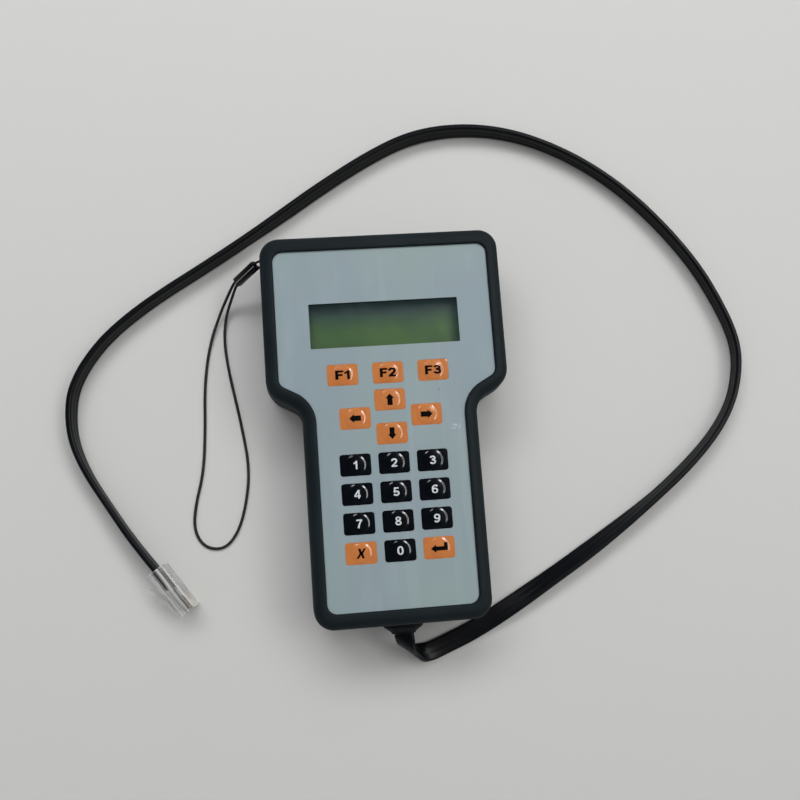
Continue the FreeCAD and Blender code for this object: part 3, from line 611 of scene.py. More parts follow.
case = {
    "top": 80.0, "bottom": -80.0, "head": 50.0, "grip": 36.0, "shoulderY": 14.9, "neckY": 7.2,
    "height": 30.0, "parting": 14.5, "wall": 2.5, "back": 2.5, "backStrip": 0.6, "rimRound": 4.2,
    "rimInner": 0.8, "backRound": 5.0, "seam": 0.5, "frontDraft": 3.0, "backDraft": 1.0,
    "foilTop": 28.8, "floorTop": 27.2, "floorUnder": 24.7,
    # insets of the sides and of the ends, then radii of the corners, the neck and the shoulder
    "outline": (0.0, 0.0, 8.5, 8.0, 10.0), "panel": (6.0, 7.0, 4.0, 14.0, 4.0),
    # steps of each round: in the outline, over an outer edge, over an inner edge
    "steps": 12, "edgeSteps": 12, "innerSteps": 6,
}
windowSize = {"width": 61.0, "height": 18.5, "y": 41.5, "corner": 0.3, "openingMargin": 0.75}


def caseCorners():
    right = [
        (case["grip"], case["bottom"]), (case["grip"], case["neckY"]),
        (case["head"], case["shoulderY"]), (case["head"], case["top"]),
    ]
    return right + [(-x, y) for x, y in reversed(right)]


def caseLoop(kind, inset, z):
    # the case's outline or the panel's, moved inwards
    side, end, corner, neck, shoulder = case[kind]
    insets = [side + inset] * 8
    insets[3] = insets[7] = end + inset
    right = [corner - inset, neck + inset, shoulder - inset, corner - inset]
    return roundLoop(insetCorners(caseCorners(), insets), right + right[::-1], z, case["steps"])


def windowLoop(margin, z):
    return roundBox(windowSize, margin, 0, windowSize["y"], z)


# case shells

strapEye = {"radius": 1.3, "xs": (-54.0, -44.0), "ys": (72.8, 69.2), "z": 20.2}
leadNotch = {"half": 6.6, "low": 3.4, "ys": (-84.0, -74.0)}


def roundedWall(reach, radius, draft):
    # centre of the round between a leaning wall and an end face: its inset, its height over the seam
    lean = tan(radians(draft))
    return (reach - radius) * lean + radius * hypot(1, lean), reach - radius


def notchCutter():
    n = leadNotch
    mesh = tubeOf([stadium(n["half"], n["low"], y, case["parting"]) for y in n["ys"]])
    return makePiece("cutter", mesh, ["case_plastic"])


def makeFrontShell():
    mesh = bmesh.new()
    parting, height, inner = case["parting"], case["height"], case["rimInner"]
    draft = case["frontDraft"]
    centre, over = roundedWall(height - parting, case["rimRound"], draft)
    outside = [(case["seam"], parting), (0, parting + case["seam"])]
    outside += arc((centre, parting + over), case["rimRound"], 180 - draft, 90, case["edgeSteps"])
    loops = [addLoop(mesh, caseLoop("outline", inset, z)) for inset, z in outside]
    for inset, z in arc((-inner, height - inner), inner, 90, 0, case["innerSteps"]):
        loops.append(addLoop(mesh, caseLoop("panel", inset, z)))
    levels = (case["floorTop"], case["floorUnder"])
    loops.append(addLoop(mesh, caseLoop("panel", 0, levels[0])))
    bridgeAll(mesh, loops)
    inside = [addLoop(mesh, caseLoop("outline", case["wall"], z)) for z in (parting, levels[1])]
    bridgeAll(mesh, inside)
    bridge(mesh, loops[0], inside[0])
    opening = [addLoop(mesh, windowLoop(windowSize["openingMargin"], z)) for z in levels]
    bridgeAll(mesh, opening)
    fillBetween(mesh, loops[-1], opening[0])
    fillBetween(mesh, inside[1], opening[1])
    shell = makePiece("frontShell", mesh, ["case_plastic"])
    rods = []
    for y in strapEye["ys"]:
        mouth, end = [(x, y, strapEye["z"]) for x in strapEye["xs"]]
        rods.append(cutterRod(strapEye["radius"], mouth, end))
    carve(shell, rods + [notchCutter()])
    return stand(shell, "case", "case_plastic", "front_shell")


screwWell = {
    "radius": 3.1, "start": -2.0, "depth": 3.2, "boss": 3.6, "bossGap": 0.1,
    "places": ((42.6, 72.6), (-42.6, 72.6), (28.6, -72.6), (-28.6, -72.6)),
}


def makeRearShell():
    mesh = bmesh.new()
    r, top, wall = case["backRound"], case["parting"], case["wall"]
    centre, over = roundedWall(top, r, case["backDraft"])
    profile = [(centre + case["backStrip"], 0)]
    profile += arc((centre, top - over), r, 270, 180 + case["backDraft"], case["edgeSteps"])
    profile += [(0, top - case["seam"]), (case["seam"], top), (wall, top)]
    profile += arc((r, r), r - wall, 180, 270, case["innerSteps"])
    loops = [addLoop(mesh, caseLoop("outline", inset, z)) for inset, z in profile]
    bridgeAll(mesh, loops)
    fillBetween(mesh, loops[0])
    fillBetween(mesh, loops[-1])
    shell = makePiece("rearShell", mesh, ["case_plastic"])
    s = screwWell
    bosses, wells = [], []
    for x, y in s["places"]:
        bosses.append(cutterRod(s["boss"], (x, y, case["back"] / 2), (x, y, top - s["bossGap"])))
        wells.append(cutterRod(s["radius"], (x, y, s["start"]), (x, y, s["depth"])))
    carve(shell, bosses, "UNION")
    carve(shell, wells + [notchCutter()])
    return stand(shell, "case", "case_plastic", "rear_shell")


makeFrontShell()
makeRearShell()
print("case shells made")


# front foil and keys

keySize = {
    "width": 12.44, "height": 8.64, "corner": 1.1, "gap": 0.03, "edge": 0.05, "edgeSteps": 4, "thick": 0.5,
    "foilBevel": 0.03,
}
keyDome = {
    "foot": 4.4, "shelf": 3.4, "shelfRise": 0.22, "capRise": 0.25,
    "sides": 72, "capRings": 9, "footRings": 14,
}
# rows of keys from the top: height, spacing, names from the left
keyRows = (
    (21.05, 18.4, "f1 f2 f3"), (10.0, 0.0, "up"), (3.15, 28.9, "left right"), (-3.7, 0.0, "down"),
    (-15.5, 15.5, "1 2 3"), (-27.1, 15.5, "4 5 6"), (-38.7, 15.5, "7 8 9"), (-50.3, 15.5, "cancel 0 enter"),
)
keyPlaces = {}
for y, spacing, names in keyRows:
    names = names.split()
    for k, name in enumerate(names):
        keyPlaces["key_" + name] = ((k - (len(names) - 1) / 2) * spacing, y)


def addSpline(curve, kind, spots):
    spline = curve.splines.new(kind)
    spline.points.add(len(spots) - 1)
    for point, spot in zip(spline.points, spots):
        point.co = (*spot, 1)
    return spline


def curveMesh(curve):
    # the mesh that a curve turns into
    holder = bpy.data.objects.new(curve.name, curve)
    data = bpy.data.meshes.new_from_object(holder)
    bpy.data.objects.remove(holder)
    mesh = bmesh.new()
    mesh.from_mesh(data)
    bpy.data.meshes.remove(data)
    return mesh


def flatShape(name, rings, thick, bevel, grow=0.0):
    # a flat sheet with holes and rounded edges, in millimetres, its middle at height 0
    curve = bpy.data.curves.new(name, "CURVE")
    curve.dimensions = "2D"
    curve.fill_mode = "BOTH"
    curve.extrude = thick / 2 - bevel
    curve.bevel_depth = bevel
    curve.bevel_resolution = 2
    curve.offset = grow - bevel
    for points in rings:
        spline = addSpline(curve, "POLY", [(point[0], point[1], 0) for point in points])
        spline.use_cyclic_u = True
    return curveMesh(curve)


def makePanelSheet():
    gap, thick = keySize["gap"], keySize["thick"]
    rings = [caseLoop("panel", gap, 0), windowLoop(0, 0)]
    rings += [roundBox(keySize, gap, x, y, 0) for x, y in keyPlaces.values()]
    mesh = flatShape("panelFoil", rings, thick, keySize["foilBevel"])
    bmesh.ops.translate(mesh, vec=(0, 0, case["foilTop"] - thick / 2), verts=mesh.verts)
    sheet = makePiece("panelFoil", mesh, ["panel_foil"], sharp=5)
    return stand(sheet, "case", "panel_foil", "keypad_overlay")


def smooth(value):
    value = min(max(value, 0.0), 1.0)
    return value * value * (3 - 2 * value)


def domeHeight(radius):
    # a soft shoulder that runs into a low cap
    d = keyDome
    shoulder = d["shelfRise"] * smooth((d["foot"] - radius) / (d["foot"] - d["shelf"]))
    return shoulder + d["capRise"] * max(0.0, 1 - (radius / d["shelf"]) ** 2)


def domeRadii():
    d = keyDome
    cap, foot = d["capRings"], d["footRings"]
    radii = [d["shelf"] * k / cap for k in range(1, cap)]
    return radii + [d["shelf"] + (d["foot"] - d["shelf"]) * k / foot for k in range(foot + 1)]


def keyBoundary(angles, inset, z):
    # the plate's edge where rays from its middle meet it
    w, h, r = keySize["width"] / 2 - inset, keySize["height"] / 2 - inset, keySize["corner"] - inset
    points = []
    for angle in angles:
        c, s = cos(angle), sin(angle)
        reach = min(w / max(abs(c), 1e-9), h / max(abs(s), 1e-9))
        if reach * abs(c) > w - r and reach * abs(s) > h - r:
            # the ray ends on a rounded corner
            b = abs(c) * (w - r) + abs(s) * (h - r)
            reach = b + sqrt(max(0.0, b * b - ((w - r) ** 2 + (h - r) ** 2 - r * r)))
        points.append((reach * c, reach * s, z))
    return points


def makeKeyBody():
    mesh = bmesh.new()
    count = keyDome["sides"]
    angles = [2 * pi * i / count for i in range(count)]
    crown = mesh.verts.new((0, 0, domeHeight(0)))
    loops = []
    for radius in domeRadii():
        z = domeHeight(radius)
        loops.append(addLoop(mesh, [(radius * cos(a), radius * sin(a), z) for a in angles]))
    for i in range(count):
        mesh.faces.new((crown, loops[0][i], loops[0][(i + 1) % count]))
    edge = keySize["edge"]
    for inset, drop in arc((edge, -edge), edge, 90, 180, keySize["edgeSteps"]):
        loops.append(addLoop(mesh, keyBoundary(angles, inset, drop)))
    loops.append(addLoop(mesh, keyBoundary(angles, 0, -keySize["thick"])))
    bridgeAll(mesh, loops)
    mesh.faces.new(loops[-1])
    return mesh


# printed signs, drawn in a box that is one unit high

# a stroke's width, the least cosine at its bends, and how square its arcs are
pen = {"wide": 0.19, "bend": 0.6, "square": 0.88}


def oval(x, y, across, up, first, last, count=28):
    # an arc that is a little squarer than an ellipse, angles in degrees
    points = []
    for spot in arc((0, 0), 1, first, last, count):
        c, s = [copysign(abs(v) ** pen["square"], v) for v in spot]
        points.append((x + across * c, y + up * s))
    return points


def ring(x, y, across, up, wide, high):
    # closed oval band
    outer = oval(x, y, across, up, 0, 360, 40)[:-1]
    return [outer, oval(x, y, across - wide, up - high, 0, 360, 32)[:-1]]


def stroke(points, wide=pen["wide"]):
    # closed outline round a line of even width
    points = [Vector(p) for p in points]
    left, right = [], []
    for i, point in enumerate(points):
        back = (point - points[i - 1]).normalized() if i else (points[1] - point).normalized()
        ahead = (points[i + 1] - point).normalized() if i + 1 < len(points) else back
        side = Vector((-back.y, back.x))
        middle = (side + Vector((-ahead.y, ahead.x))).normalized()
        reach = wide / 2 / max(middle.dot(side), pen["bend"])
        left.append(point + middle * reach)
        right.append(point - middle * reach)
    return [[tuple(p) for p in left + right[::-1]]]


def eachPoint(shapes, move):
    # shapes with each of their points moved
    return [[[move(x, y) for x, y in edge] for edge in shape] for shape in shapes]


def six():
    tail = oval(0.40, 0.42, 0.305, 0.485, 182, 46)
    return [ring(0.345, 0.315, 0.345, 0.315, 0.19, 0.16), stroke(tail)]


# each sign is a list of shapes, each shape an outline and its holes
signs = {
    "0": [ring(0.345, 0.5, 0.345, 0.5, 0.195, 0.165)],
    "1": [[[
        (0.25, 0), (0.45, 0), (0.45, 1), (0.29, 1), (0.24, 0.9), (0.15, 0.82), (0.04, 0.77), (0.04, 0.6),
        (0.16, 0.645), (0.25, 0.715),
    ]]],
    "2": [
        stroke(oval(0.335, 0.7, 0.24, 0.205, 182, -22) + [(0.45, 0.44), (0.14, 0.11)], 0.2),
        stroke([(0.02, 0.085), (0.65, 0.085)], 0.17),
    ],
    "3": [
        stroke(oval(0.32, 0.735, 0.23, 0.17, 168, -90) + [(0.22, 0.565)]),
        stroke([(0.22, 0.505)] + oval(0.32, 0.3, 0.255, 0.205, 90, -168)),
    ],
    "4": [[
        [
            (0.41, 0), (0.6, 0), (0.6, 0.21), (0.71, 0.21), (0.71, 0.37), (0.6, 0.37), (0.6, 1), (0.44, 1),
            (0, 0.38), (0, 0.21), (0.41, 0.21),
        ],
        [(0.41, 0.37), (0.17, 0.37), (0.41, 0.71)],
    ]],
    "5": [
        stroke([(0.62, 0.91), (0.205, 0.91), (0.14, 0.47)], 0.18),
        stroke(oval(0.33, 0.315, 0.26, 0.22, 158, -160)),
    ],
    "6": six(),
    "7": [[[
        (0.02, 1), (0.67, 1), (0.67, 0.86), (0.51, 0.61), (0.41, 0.33), (0.37, 0), (0.16, 0), (0.2, 0.3),
        (0.31, 0.58), (0.45, 0.83), (0.02, 0.83),
    ]]],
    "8": [
        ring(0.34, 0.745, 0.3, 0.255, 0.175, 0.145),
        ring(0.34, 0.275, 0.34, 0.275, 0.185, 0.155),
    ],
    "9": eachPoint(six(), lambda x, y: (0.69 - x, 1 - y)),
    "F": [[[
        (0, 0), (0.23, 0), (0.23, 0.39), (0.58, 0.39), (0.58, 0.59), (0.23, 0.59), (0.23, 0.81),
        (0.66, 0.81), (0.66, 1), (0, 1),
    ]]],
    # block arrow that points up
    "arrow": [[[
        (0, 0.5), (-0.34, 0.09), (-0.2, 0.09), (-0.2, -0.5), (0.2, -0.5), (0.2, 0.09), (0.34, 0.09),
    ]]],
    # arrow to the left with its tail bent up
    "enter": [[[
        (-0.9, -0.12), (-0.34, 0.32), (-0.34, 0.1), (0.5, 0.1), (0.5, 0.5), (0.88, 0.5), (0.88, -0.34),
        (-0.34, -0.34), (-0.34, -0.56),
    ]]],
    "cross": [[[
        (-0.25, 0.5), (0.0, 0.5), (0.1, 0.16), (0.32, 0.5), (0.54, 0.5), (0.22, 0.0), (0.36, -0.5),
        (0.12, -0.5), (0.02, -0.17), (-0.22, -0.5), (-0.45, -0.5), (-0.12, 0.0),
    ]]],
}
legendSize = {
    "thick": 0.04, "bevel": 0.004, "lift": 0.012, "space": 0.1, "layer": 0.006, "bold": 0.07,
    # longest edge that is left, and how often edges are halved to get there
    "edge": 0.3, "halvings": 5,
}
# signs, height, stretch sideways, quarter turns
legends = {
    "key_f1": (["F", "1"], 3.5, 1.4, 0), "key_f2": (["F", "2"], 3.5, 1.27, 0),
    "key_f3": (["F", "3"], 3.5, 1.27, 0),
    "key_up": (["arrow"], 4.7, 1.1, 0), "key_down": (["arrow"], 4.7, 1.1, 2),
    "key_left": (["arrow"], 4.8, 1.1, 1), "key_right": (["arrow"], 4.8, 1.1, 3),
    "key_cancel": (["cross"], 3.9, 1.05, 0), "key_enter": (["enter"], 3.65, 1.03, 0),
}
for digit in "1234567890":
    legends["key_" + digit] = ([digit], 3.4, 1.06, 0)


def legendShapes(names, height, stretch, quarter):
    # the signs side by side round the key's middle
    shapes, start = [], 0.0
    for name in names:
        xs = [x for shape in signs[name] for x, _ in shape[0]]
        shapes += eachPoint(signs[name], lambda x, y: (x - min(xs) + start, y))
        start += max(xs) - min(xs) + legendSize["space"]
    xs, ys = zip(*[spot for shape in shapes for spot in shape[0]])
    middleX, middleY = (min(xs) + max(xs)) / 2, (min(ys) + max(ys)) / 2
    c, s = (1, 0, -1, 0)[quarter], (0, 1, 0, -1)[quarter]

    def laid(x, y):
        x, y = (x - middleX) * height * stretch, (y - middleY) * height
        return x * c - y * s, x * s + y * c
    return eachPoint(shapes, laid)


def makeLegend(name):
    size = legendSize
    bold = size["bold"] if name.startswith("key_f") else 0.0
    whole = bmesh.new()
    for layer, shape in enumerate(legendShapes(*legends[name])):
        mesh = flatShape("legend", shape, size["thick"], size["bevel"], bold)
        # short edges let the print follow the dome
        for _ in range(size["halvings"]):
            long = [e for e in mesh.edges if e.calc_length() > size["edge"]]
            if long:
                bmesh.ops.subdivide_edges(mesh, edges=long, cuts=1)
                bmesh.ops.triangulate(mesh, faces=[f for f in mesh.faces if len(f.verts) > 4])
        for v in mesh.verts:
            v.co.z += domeHeight(hypot(v.co.x, v.co.y)) + size["lift"] + layer * size["layer"]
        addMesh(whole, mesh)
    return whole


def addMesh(whole, mesh):
    data = bpy.data.meshes.new("extra")
    mesh.to_mesh(data)
    mesh.free()
    whole.from_mesh(data)
    bpy.data.meshes.remove(data)


def makeKey(name, place):
    black = name[-1].isdigit() and not name.startswith("key_f")
    mesh = makeKeyBody()
    count = len(mesh.faces)
    addMesh(mesh, makeLegend(name))
    mesh.faces.ensure_lookup_table()
    for face in mesh.faces[count:]:
        face.material_index = 1
    bmesh.ops.translate(mesh, vec=(place[0], place[1], case["foilTop"]), verts=mesh.verts)
    finishes = ["key_black", "ink_white"] if black else ["key_orange", "ink_black"]
    key = makePiece(name.replace("key_", "keyTop_"), mesh, finishes, sharp=50)
    return stand(key, name, finishes[0], name)


makePanelSheet()
for name, place in keyPlaces.items():
    makeKey(name, place)
print("front foil and", len(keyPlaces), "keys made")


# cords

def readLine(points, fine=14):
    # points along the smooth spline that a route's points control
    curve = bpy.data.curves.new("route", "CURVE")
    curve.dimensions = "3D"
    spline = addSpline(curve, "NURBS", points)
    spline.order_u = 3
    spline.use_endpoint_u = True
    spline.resolution_u = fine
    mesh = curveMesh(curve)
    line = [v.co.copy() for v in mesh.verts]
    mesh.free()
    return line


def tangents(line):
    ways = []
    for i in range(len(line)):
        ways.append((line[min(i + 1, len(line) - 1)] - line[max(i - 1, 0)]).normalized())
    return ways


def lengths(line):
    run = [0.0]
    for a, b in zip(line, line[1:]):
        run.append(run[-1] + (b - a).length)
    return run


flatLead = {
    "width": 8.0, "thick": 2.5, "edge": 1.0, "edgeSteps": 5, "foldAxis": -38.0, "foldTo": 32.0,
    # points across a flat side, with a shallow groove on each side of the middle
    "across": (-2.3, -1.7, -1.3, -0.9, 0, 0.9, 1.3, 1.7, 2.3), "grooveAt": 1.3, "groove": 0.12,
    # how far the band leans over from lying flat, in degrees, at these lengths along it
    "leans": (
        (0, 0), (40, 0), (90, 45), (150, 79), (215, 94), (260, 90), (340, 90), (430, 73), (470, 72),
        (505, 80), (600, 81), (650, 93), (690, 90),
    ),
    "points": [
        (0, -84.2, 14.5), (0.4, -86.4, 14.5), (0.7, -89.7, 12.2), (2.7, -92.2, 7.2), (6.0, -94.1, 3.5),
        (10.5, -94.9, 1.9), (18, -92.2, 1.25), (31, -87.2, 1.25), (50.3, -76.7, 2.95), (90.1, -53.4, 3.75),
        (127.8, -27.5, 4.0), (151.4, -3.6, 4.0), (159.4, 20, 4.0), (156.6, 39.2, 4.0), (140.8, 72.4, 4.0),
        (108, 109.6, 4.0), (67.4, 131.8, 4.0), (28, 134.4, 4.0), (-4, 121.2, 4.0), (-60, 84, 4.0),
        (-111, 54, 4.0), (-131, 30, 4.0), (-133.5, 10, 4.0), (-128.7, -7.2, 4.0), (-116.6, -27.4, 4.2),
        (-107.8, -40.8, 5.85), (-99.4, -52.0, 5.85),
    ],
}


def leadSection():
    # the flat section from its upper side round: across the width, then the thickness
    f = flatLead
    w, t, r = f["width"] / 2, f["thick"] / 2, f["edge"]
    upper = [(x, t - f["groove"] * (abs(x) == f["grooveAt"])) for x in f["across"]]
    right = arc((w - r, t - r), r, 90, 0, f["edgeSteps"])
    right += [(x, -y) for x, y in reversed(right)]
    half = upper + right
    return half + [(-x, -y) for x, y in half]


def leanAt(far):
    for (start, first), (end, last) in zip(flatLead["leans"], flatLead["leans"][1:]):
        if far <= end:
            return radians(first + (last - first) * smooth((far - start) / (end - start)))
    return radians(flatLead["leans"][-1][1])


def makeFlatLead():
    line = readLine(flatLead["points"])
    run = lengths(line)
    # from the grommet to the floor the band is rolled over a slanting line
    turn = radians(flatLead["foldAxis"])
    fold = Vector((cos(turn), sin(turn), 0))
    section = leadSection()
    rings = []
    for spot, way, far in zip(line, tangents(line), run):
        side = way.cross(upright) if far > flatLead["foldTo"] else fold - way * fold.dot(way)
        side.normalize()
        face = side.cross(way)
        lean = leanAt(far)
        across = side * cos(lean) + face * sin(lean)
        through = face * cos(lean) - side * sin(lean)
        rings.append([spot + across * x + through * y for x, y in section])
    lead = makePiece("flatLead", tubeOf(rings), ["lead_jacket"], sharp=50)
    stand(lead, "case", "lead_jacket", "flat_cable")
    print("flat lead length", round(run[-1], 1), "mm")
    return lead, [p * mm for p in line], run[-1] * mm


wristStrap = {
    "diameter": 1.2, "spacing": 0.75, "lead": 1.6,
    "points": [
        (-64.6, 62.4, 7.4), (-69.2, 55.2, 2.2), (-74.5, 42, 0.6), (-77.5, 24, 0.6), (-78, 5, 0.6),
        (-79.5, -13, 0.6), (-83.5, -27, 0.6), (-84.5, -37, 0.6), (-80.5, -44.5, 0.6), (-72.5, -46, 0.6),
        (-66.5, -40, 0.6), (-62.5, -29, 0.6), (-60, -13, 0.6), (-62.5, 6, 0.6), (-67, 30, 0.6),
        (-68.3, 44, 0.6), (-66.8, 54.2, 1.6), (-63.3, 61.0, 6.2),
    ],
}


def tubeMesh(line, radius, sides=12):
    angles = [2 * pi * k / sides for k in range(sides)]
    rings = []
    side = None
    for spot, way in zip(line, tangents(line)):
        side = way.cross(upright) if side is None else side - way * side.dot(way)
        side.normalize()
        over = side.cross(way)
        around = [side * cos(a) + over * sin(a) for a in angles]
        rings.append([spot + out * radius for out in around])
    return tubeOf(rings)


def makeStrap():
    _, far, along, across, _ = ferruleAxes()
    side = across * wristStrap["spacing"]
    lead = along * wristStrap["lead"]
    ends = [far + side, far + side + lead], [far - side + lead, far - side]
    line = readLine(ends[0] + wristStrap["points"] + ends[1])
    strap = makePiece("wristStrap", tubeMesh(line, wristStrap["diameter"] / 2), ["strap_cord"], sharp=60)
    stand(strap, "case", "strap_cord", "strap_loop")
    run = lengths(line)[-1]
    print("wrist strap length", round(run, 1), "mm")
    return strap, [p * mm for p in line], run * mm


strapTie = {"diameter": 1.0, "lead": 0.85, "middleX": -48.75, "innerX": -46.9}


def makeStrapTie():
    near, _, along, across, _ = ferruleAxes()
    strands = []
    for y, sign in zip(strapEye["ys"], (1, -1)):
        start = near + across * (wristStrap["spacing"] * sign)
        inner = [(strapTie[x], y, strapEye["z"]) for x in ("middleX", "innerX")]
        strands.append([start, start - along * strapTie["lead"]] + inner)
    line = readLine(strands[0] + strands[1][::-1], fine=8)
    mesh = tubeMesh(line, strapTie["diameter"] / 2, sides=10)
    tie = makePiece("strapTie", mesh, ["strap_cord"], sharp=60)
    return stand(tie, "case", "strap_cord", "strap_tie")


def makeFerrule():
    near, far, along, across, over = ferruleAxes()
    near = near - along * ferrule["reach"]
    rings = []
    for inset, z in roundedEnds((far - near).length, ferrule["endRound"], ferrule["endSteps"]):
        section = roundBox(ferrule, -inset, 0, 0, 0)
        rings.append([near + across * x + over * y + along * z for x, y, _ in section])
    sleeve = makePiece("strapFerrule", tubeOf(rings), ["sleeve_black"], sharp=40)
    return stand(sleeve, "case", "black_plastic", "strap_ferrule")


leadPiece, leadLine, leadLength = makeFlatLead()
strapPiece, strapLine, strapLength = makeStrap()
tiePiece = makeStrapTie()
ferrulePiece = makeFerrule()


# lead grommet

grommet = {
    "flange": -75.5, "flangeEnd": -77.5, "root": -80.0, "hold": -80.9, "tip": -84.2, "z": 14.5, "steps": 8,
    # half widths and half heights
    "wide": (8.25, 4.5), "neck": (6.5, 3.3), "narrow": (4.9, 2.4), "mouth": (4.4, 1.9),
}


def makeGrommet():
    g = grommet
    rings = [(g["wide"], g["flange"]), (g["wide"], g["flangeEnd"]), (g["neck"], g["flangeEnd"])]
    rings += [(g["neck"], g["root"]), (g["wide"], g["root"])]
    for k in range(g["steps"] + 1):
        share = k / g["steps"]
        size = [w + (n - w) * smooth(share) for w, n in zip(g["wide"], g["narrow"])]
        rings.append((size, g["hold"] + (g["tip"] - g["hold"]) * share))
    rings.append((g["mouth"], g["tip"]))
    mesh = tubeOf([stadium(*size, y, g["z"]) for size, y in rings])
    boot = makePiece("leadGrommet", mesh, ["grommet_rubber"], sharp=40)
    return stand(boot, "case", "grommet_rubber", "cable_grommet")


grommetPiece = makeGrommet()


# clear plug

def boxMesh(mesh, low, high):
    size = [b - a for a, b in zip(low, high)]
    middle = [(a + b) / 2 for a, b in zip(low, high)]
    bmesh.ops.create_cube(mesh, size=1.0, matrix=Matrix.LocRotScale(Vector(middle), None, Vector(size)))


def makePlugBody():
    p = plug
    outline = [
        (0, -p["half"]), (p["hood"], -p["half"]), (p["ramp"], p["nose"]), (p["length"], p["nose"]),
        (p["length"], p["half"]), (0, p["half"]),
    ]
    laid = Matrix.Translation(p["place"]) @ Matrix.Rotation(radians(p["heading"]), 4, "Z")
    count = len(outline)
    rings = []
    for inset, z in roundedEnds(2 * p["wide"], p["bevel"], p["bevelSteps"]):
        corners = insetCorners(outline, [inset] * count)
        rings.append(roundLoop(corners, [p["corner"]] * count, z - p["wide"], p["cornerSteps"]))
    mesh = tubeOf(rings)
    bmesh.ops.transform(mesh, matrix=laid, verts=mesh.verts)
    body = makePiece("plugBody", mesh, ["plug_clear"])
    cuts = bmesh.new()
    deep, tall, broad = p["cavity"]
    boxMesh(cuts, (-p["spare"], -tall, -broad), (deep, tall, broad))
    for k in range(p["contacts"]):
        level = (k - (p["contacts"] - 1) / 2) * p["pitch"]
        low = (p["slotFrom"], p["slotFloor"], level - p["slot"] / 2)
        boxMesh(cuts, low, (p["length"] + p["spare"], p["half"] + p["spare"], level + p["slot"] / 2))
    bmesh.ops.transform(cuts, matrix=laid, verts=cuts.verts)
    carve(body, [makePiece("cutter", cuts, ["plug_clear"])])
    return stand(body, "case", "plug_clear", "plug_body")


plugPiece = makePlugBody()
print("cords, strap and grommet made")


# floor, light and camera

floorLook = {
    "shade": tone(210, 210, 208), "roughness": 0.6, "shine": 0.25, "size": 60.0, "drop": 0.02 * mm,
    "near": 0.45, "far": 1.7, "haze": (0.80, 0.81, 0.82, 1.0),
}


def makeFloor():
    # pale and plain, running into a pale haze far away
    f = floorLook
    mesh = bmesh.new()
    half = f["size"] / 2 / mm
    mesh.faces.new(addLoop(mesh, [(half, -half, 0), (half, half, 0), (-half, half, 0), (-half, -half, 0)]))
    look = newLook("paleFloor")
    rays = [look.node("LightPath", out=f"Is {kind} Ray") for kind in ("Camera", "Glossy", "Transmission")]
    far = look.step(look.reach((0, 0), (1, 1)), f["near"], f["far"])
    plain = {"Base Color": f["shade"], "Roughness": f["roughness"], "Specular IOR Level": f["shine"]}
    top = look.node("BsdfPrincipled", None, plain)
    haze = look.node("Emission", None, {"Color": f["haze"], "Strength": 1.0})
    share = far * (rays[0] + rays[1] + rays[2])
    looks["floor"] = look.finish(look.node("MixShader", None, {0: share, 1: top, 2: haze}))
    floor = makePiece("floor", mesh, ["floor"])
    floor.location.z = -f["drop"]


# place, size, power, shade, and whether it lights the surfaces or is only mirrored in glossy ones
lamps = {
    "rightWindow": ((1.45, 0.53, 1.97), (2.2, 0.9), 20.5, (1.0, 0.985, 0.96), True),
    "topWindow": ((-0.20, 0.99, 1.12), (1.44, 0.48), 13.0, (0.98, 0.99, 1.0), True),
    "leftWall": ((-2.0, -0.4, 1.90), (3.2, 2.4), 9.5, (0.98, 0.99, 1.0), True),
    "ceiling": ((0.0, 0.0, 2.5), (2.0, 2.0), 8.0, (1.0, 1.0, 1.0), True),
    "rightGlint": ((1.32, 0.32, 2.10), (1.9, 0.5), 23.0, (1.0, 0.99, 0.97), False),
    "tipGlint": ((0.98, 0.95, 2.10), (0.4, 0.9), 14.0, (1.0, 1.0, 1.0), False),
    "topGlint": ((-0.51, 1.26, 2.10), (0.5, 0.3), 4.0, (1.0, 1.0, 1.0), False),
}


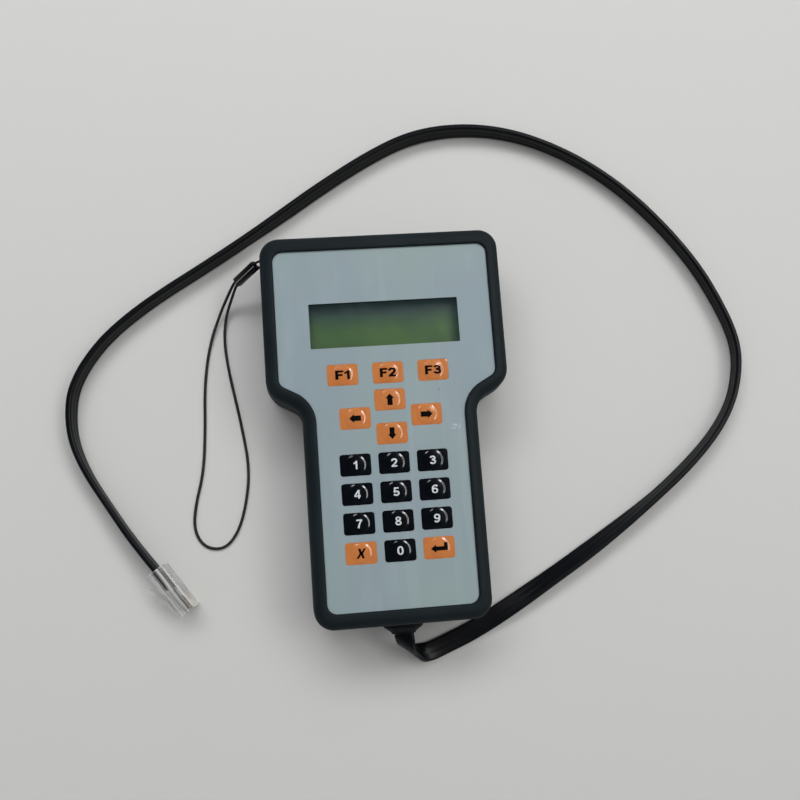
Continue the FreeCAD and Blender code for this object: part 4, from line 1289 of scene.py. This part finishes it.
def makeLamp(name, place, size, power, shade, lights):
    # faces the middle of the scene
    lamp = bpy.data.lights.new(name, "AREA")
    lamp.shape = "RECTANGLE"
    lamp.size, lamp.size_y = size
    lamp.energy = power
    lamp.color = shade
    holder = show(name, lamp)
    holder.location = place
    holder.rotation_euler = (-Vector(place)).to_track_quat("-Z", "Y").to_euler()
    holder.visible_diffuse = lights
    holder.visible_glossy = not lights


room = {
    # heights over the horizon and the light there
    "levels": ((0.0, 1.0), (0.1, 0.95), (0.26, 0.26), (0.7, 0.26), (0.9, 0.06), (1.0, 0.05)),
    # light on the left, what is added towards the right, and where that starts and ends
    "left": 0.3, "added": 0.9, "leftToRight": (-0.8, 0.8), "hazeToWall": (0.06, 0.26),
}


def makeRoom():
    # pale haze low down, above it dim walls, darkest overhead and on the left
    look = Look(bpy.data.worlds.new("room"), "ShaderNodeOutputWorld")
    way = look.node("TexCoord", out="Generated")
    right, rise = [look.node("SeparateXYZ", None, {0: way}, out=k) for k in (0, 2)]
    haze = floorLook["haze"][:3]
    stops = [(place, [level * channel for channel in haze] + [1.0]) for place, level in room["levels"]]
    colour = look.node("ValToRGB", {"stops": stops}, {"Fac": rise})
    side = room["left"] + room["added"] * look.step(right, *room["leftToRight"])
    strength = 1 + (side - 1) * look.step(rise, *room["hazeToWall"])
    scene.world = look.finish(look.node("Background", None, {"Color": colour, "Strength": strength}))


cameraFit = {
    "place": (-23.07, -30.97, 368.58), "lens": 38.25, "sensor": 36.0, "clip": 0.01,
    "axes": ((0.99494, -0.07094, 0.07112), (0.06184, 0.9905, 0.12285), (-0.07916, -0.11783, 0.98987)),
}


def makeCamera():
    data = bpy.data.cameras.new("camera")
    data.lens = cameraFit["lens"]
    data.sensor_width = cameraFit["sensor"]
    data.clip_start = cameraFit["clip"]
    scene.camera = show("camera", data)
    turn = Matrix(cameraFit["axes"]).transposed().to_4x4()
    scene.camera.matrix_world = Matrix.Translation(Vector(cameraFit["place"]) * mm) @ turn


makeFloor()
makeRoom()
for name, settings in lamps.items():
    makeLamp(name, *settings)
makeCamera()
print("floor, light and camera set")
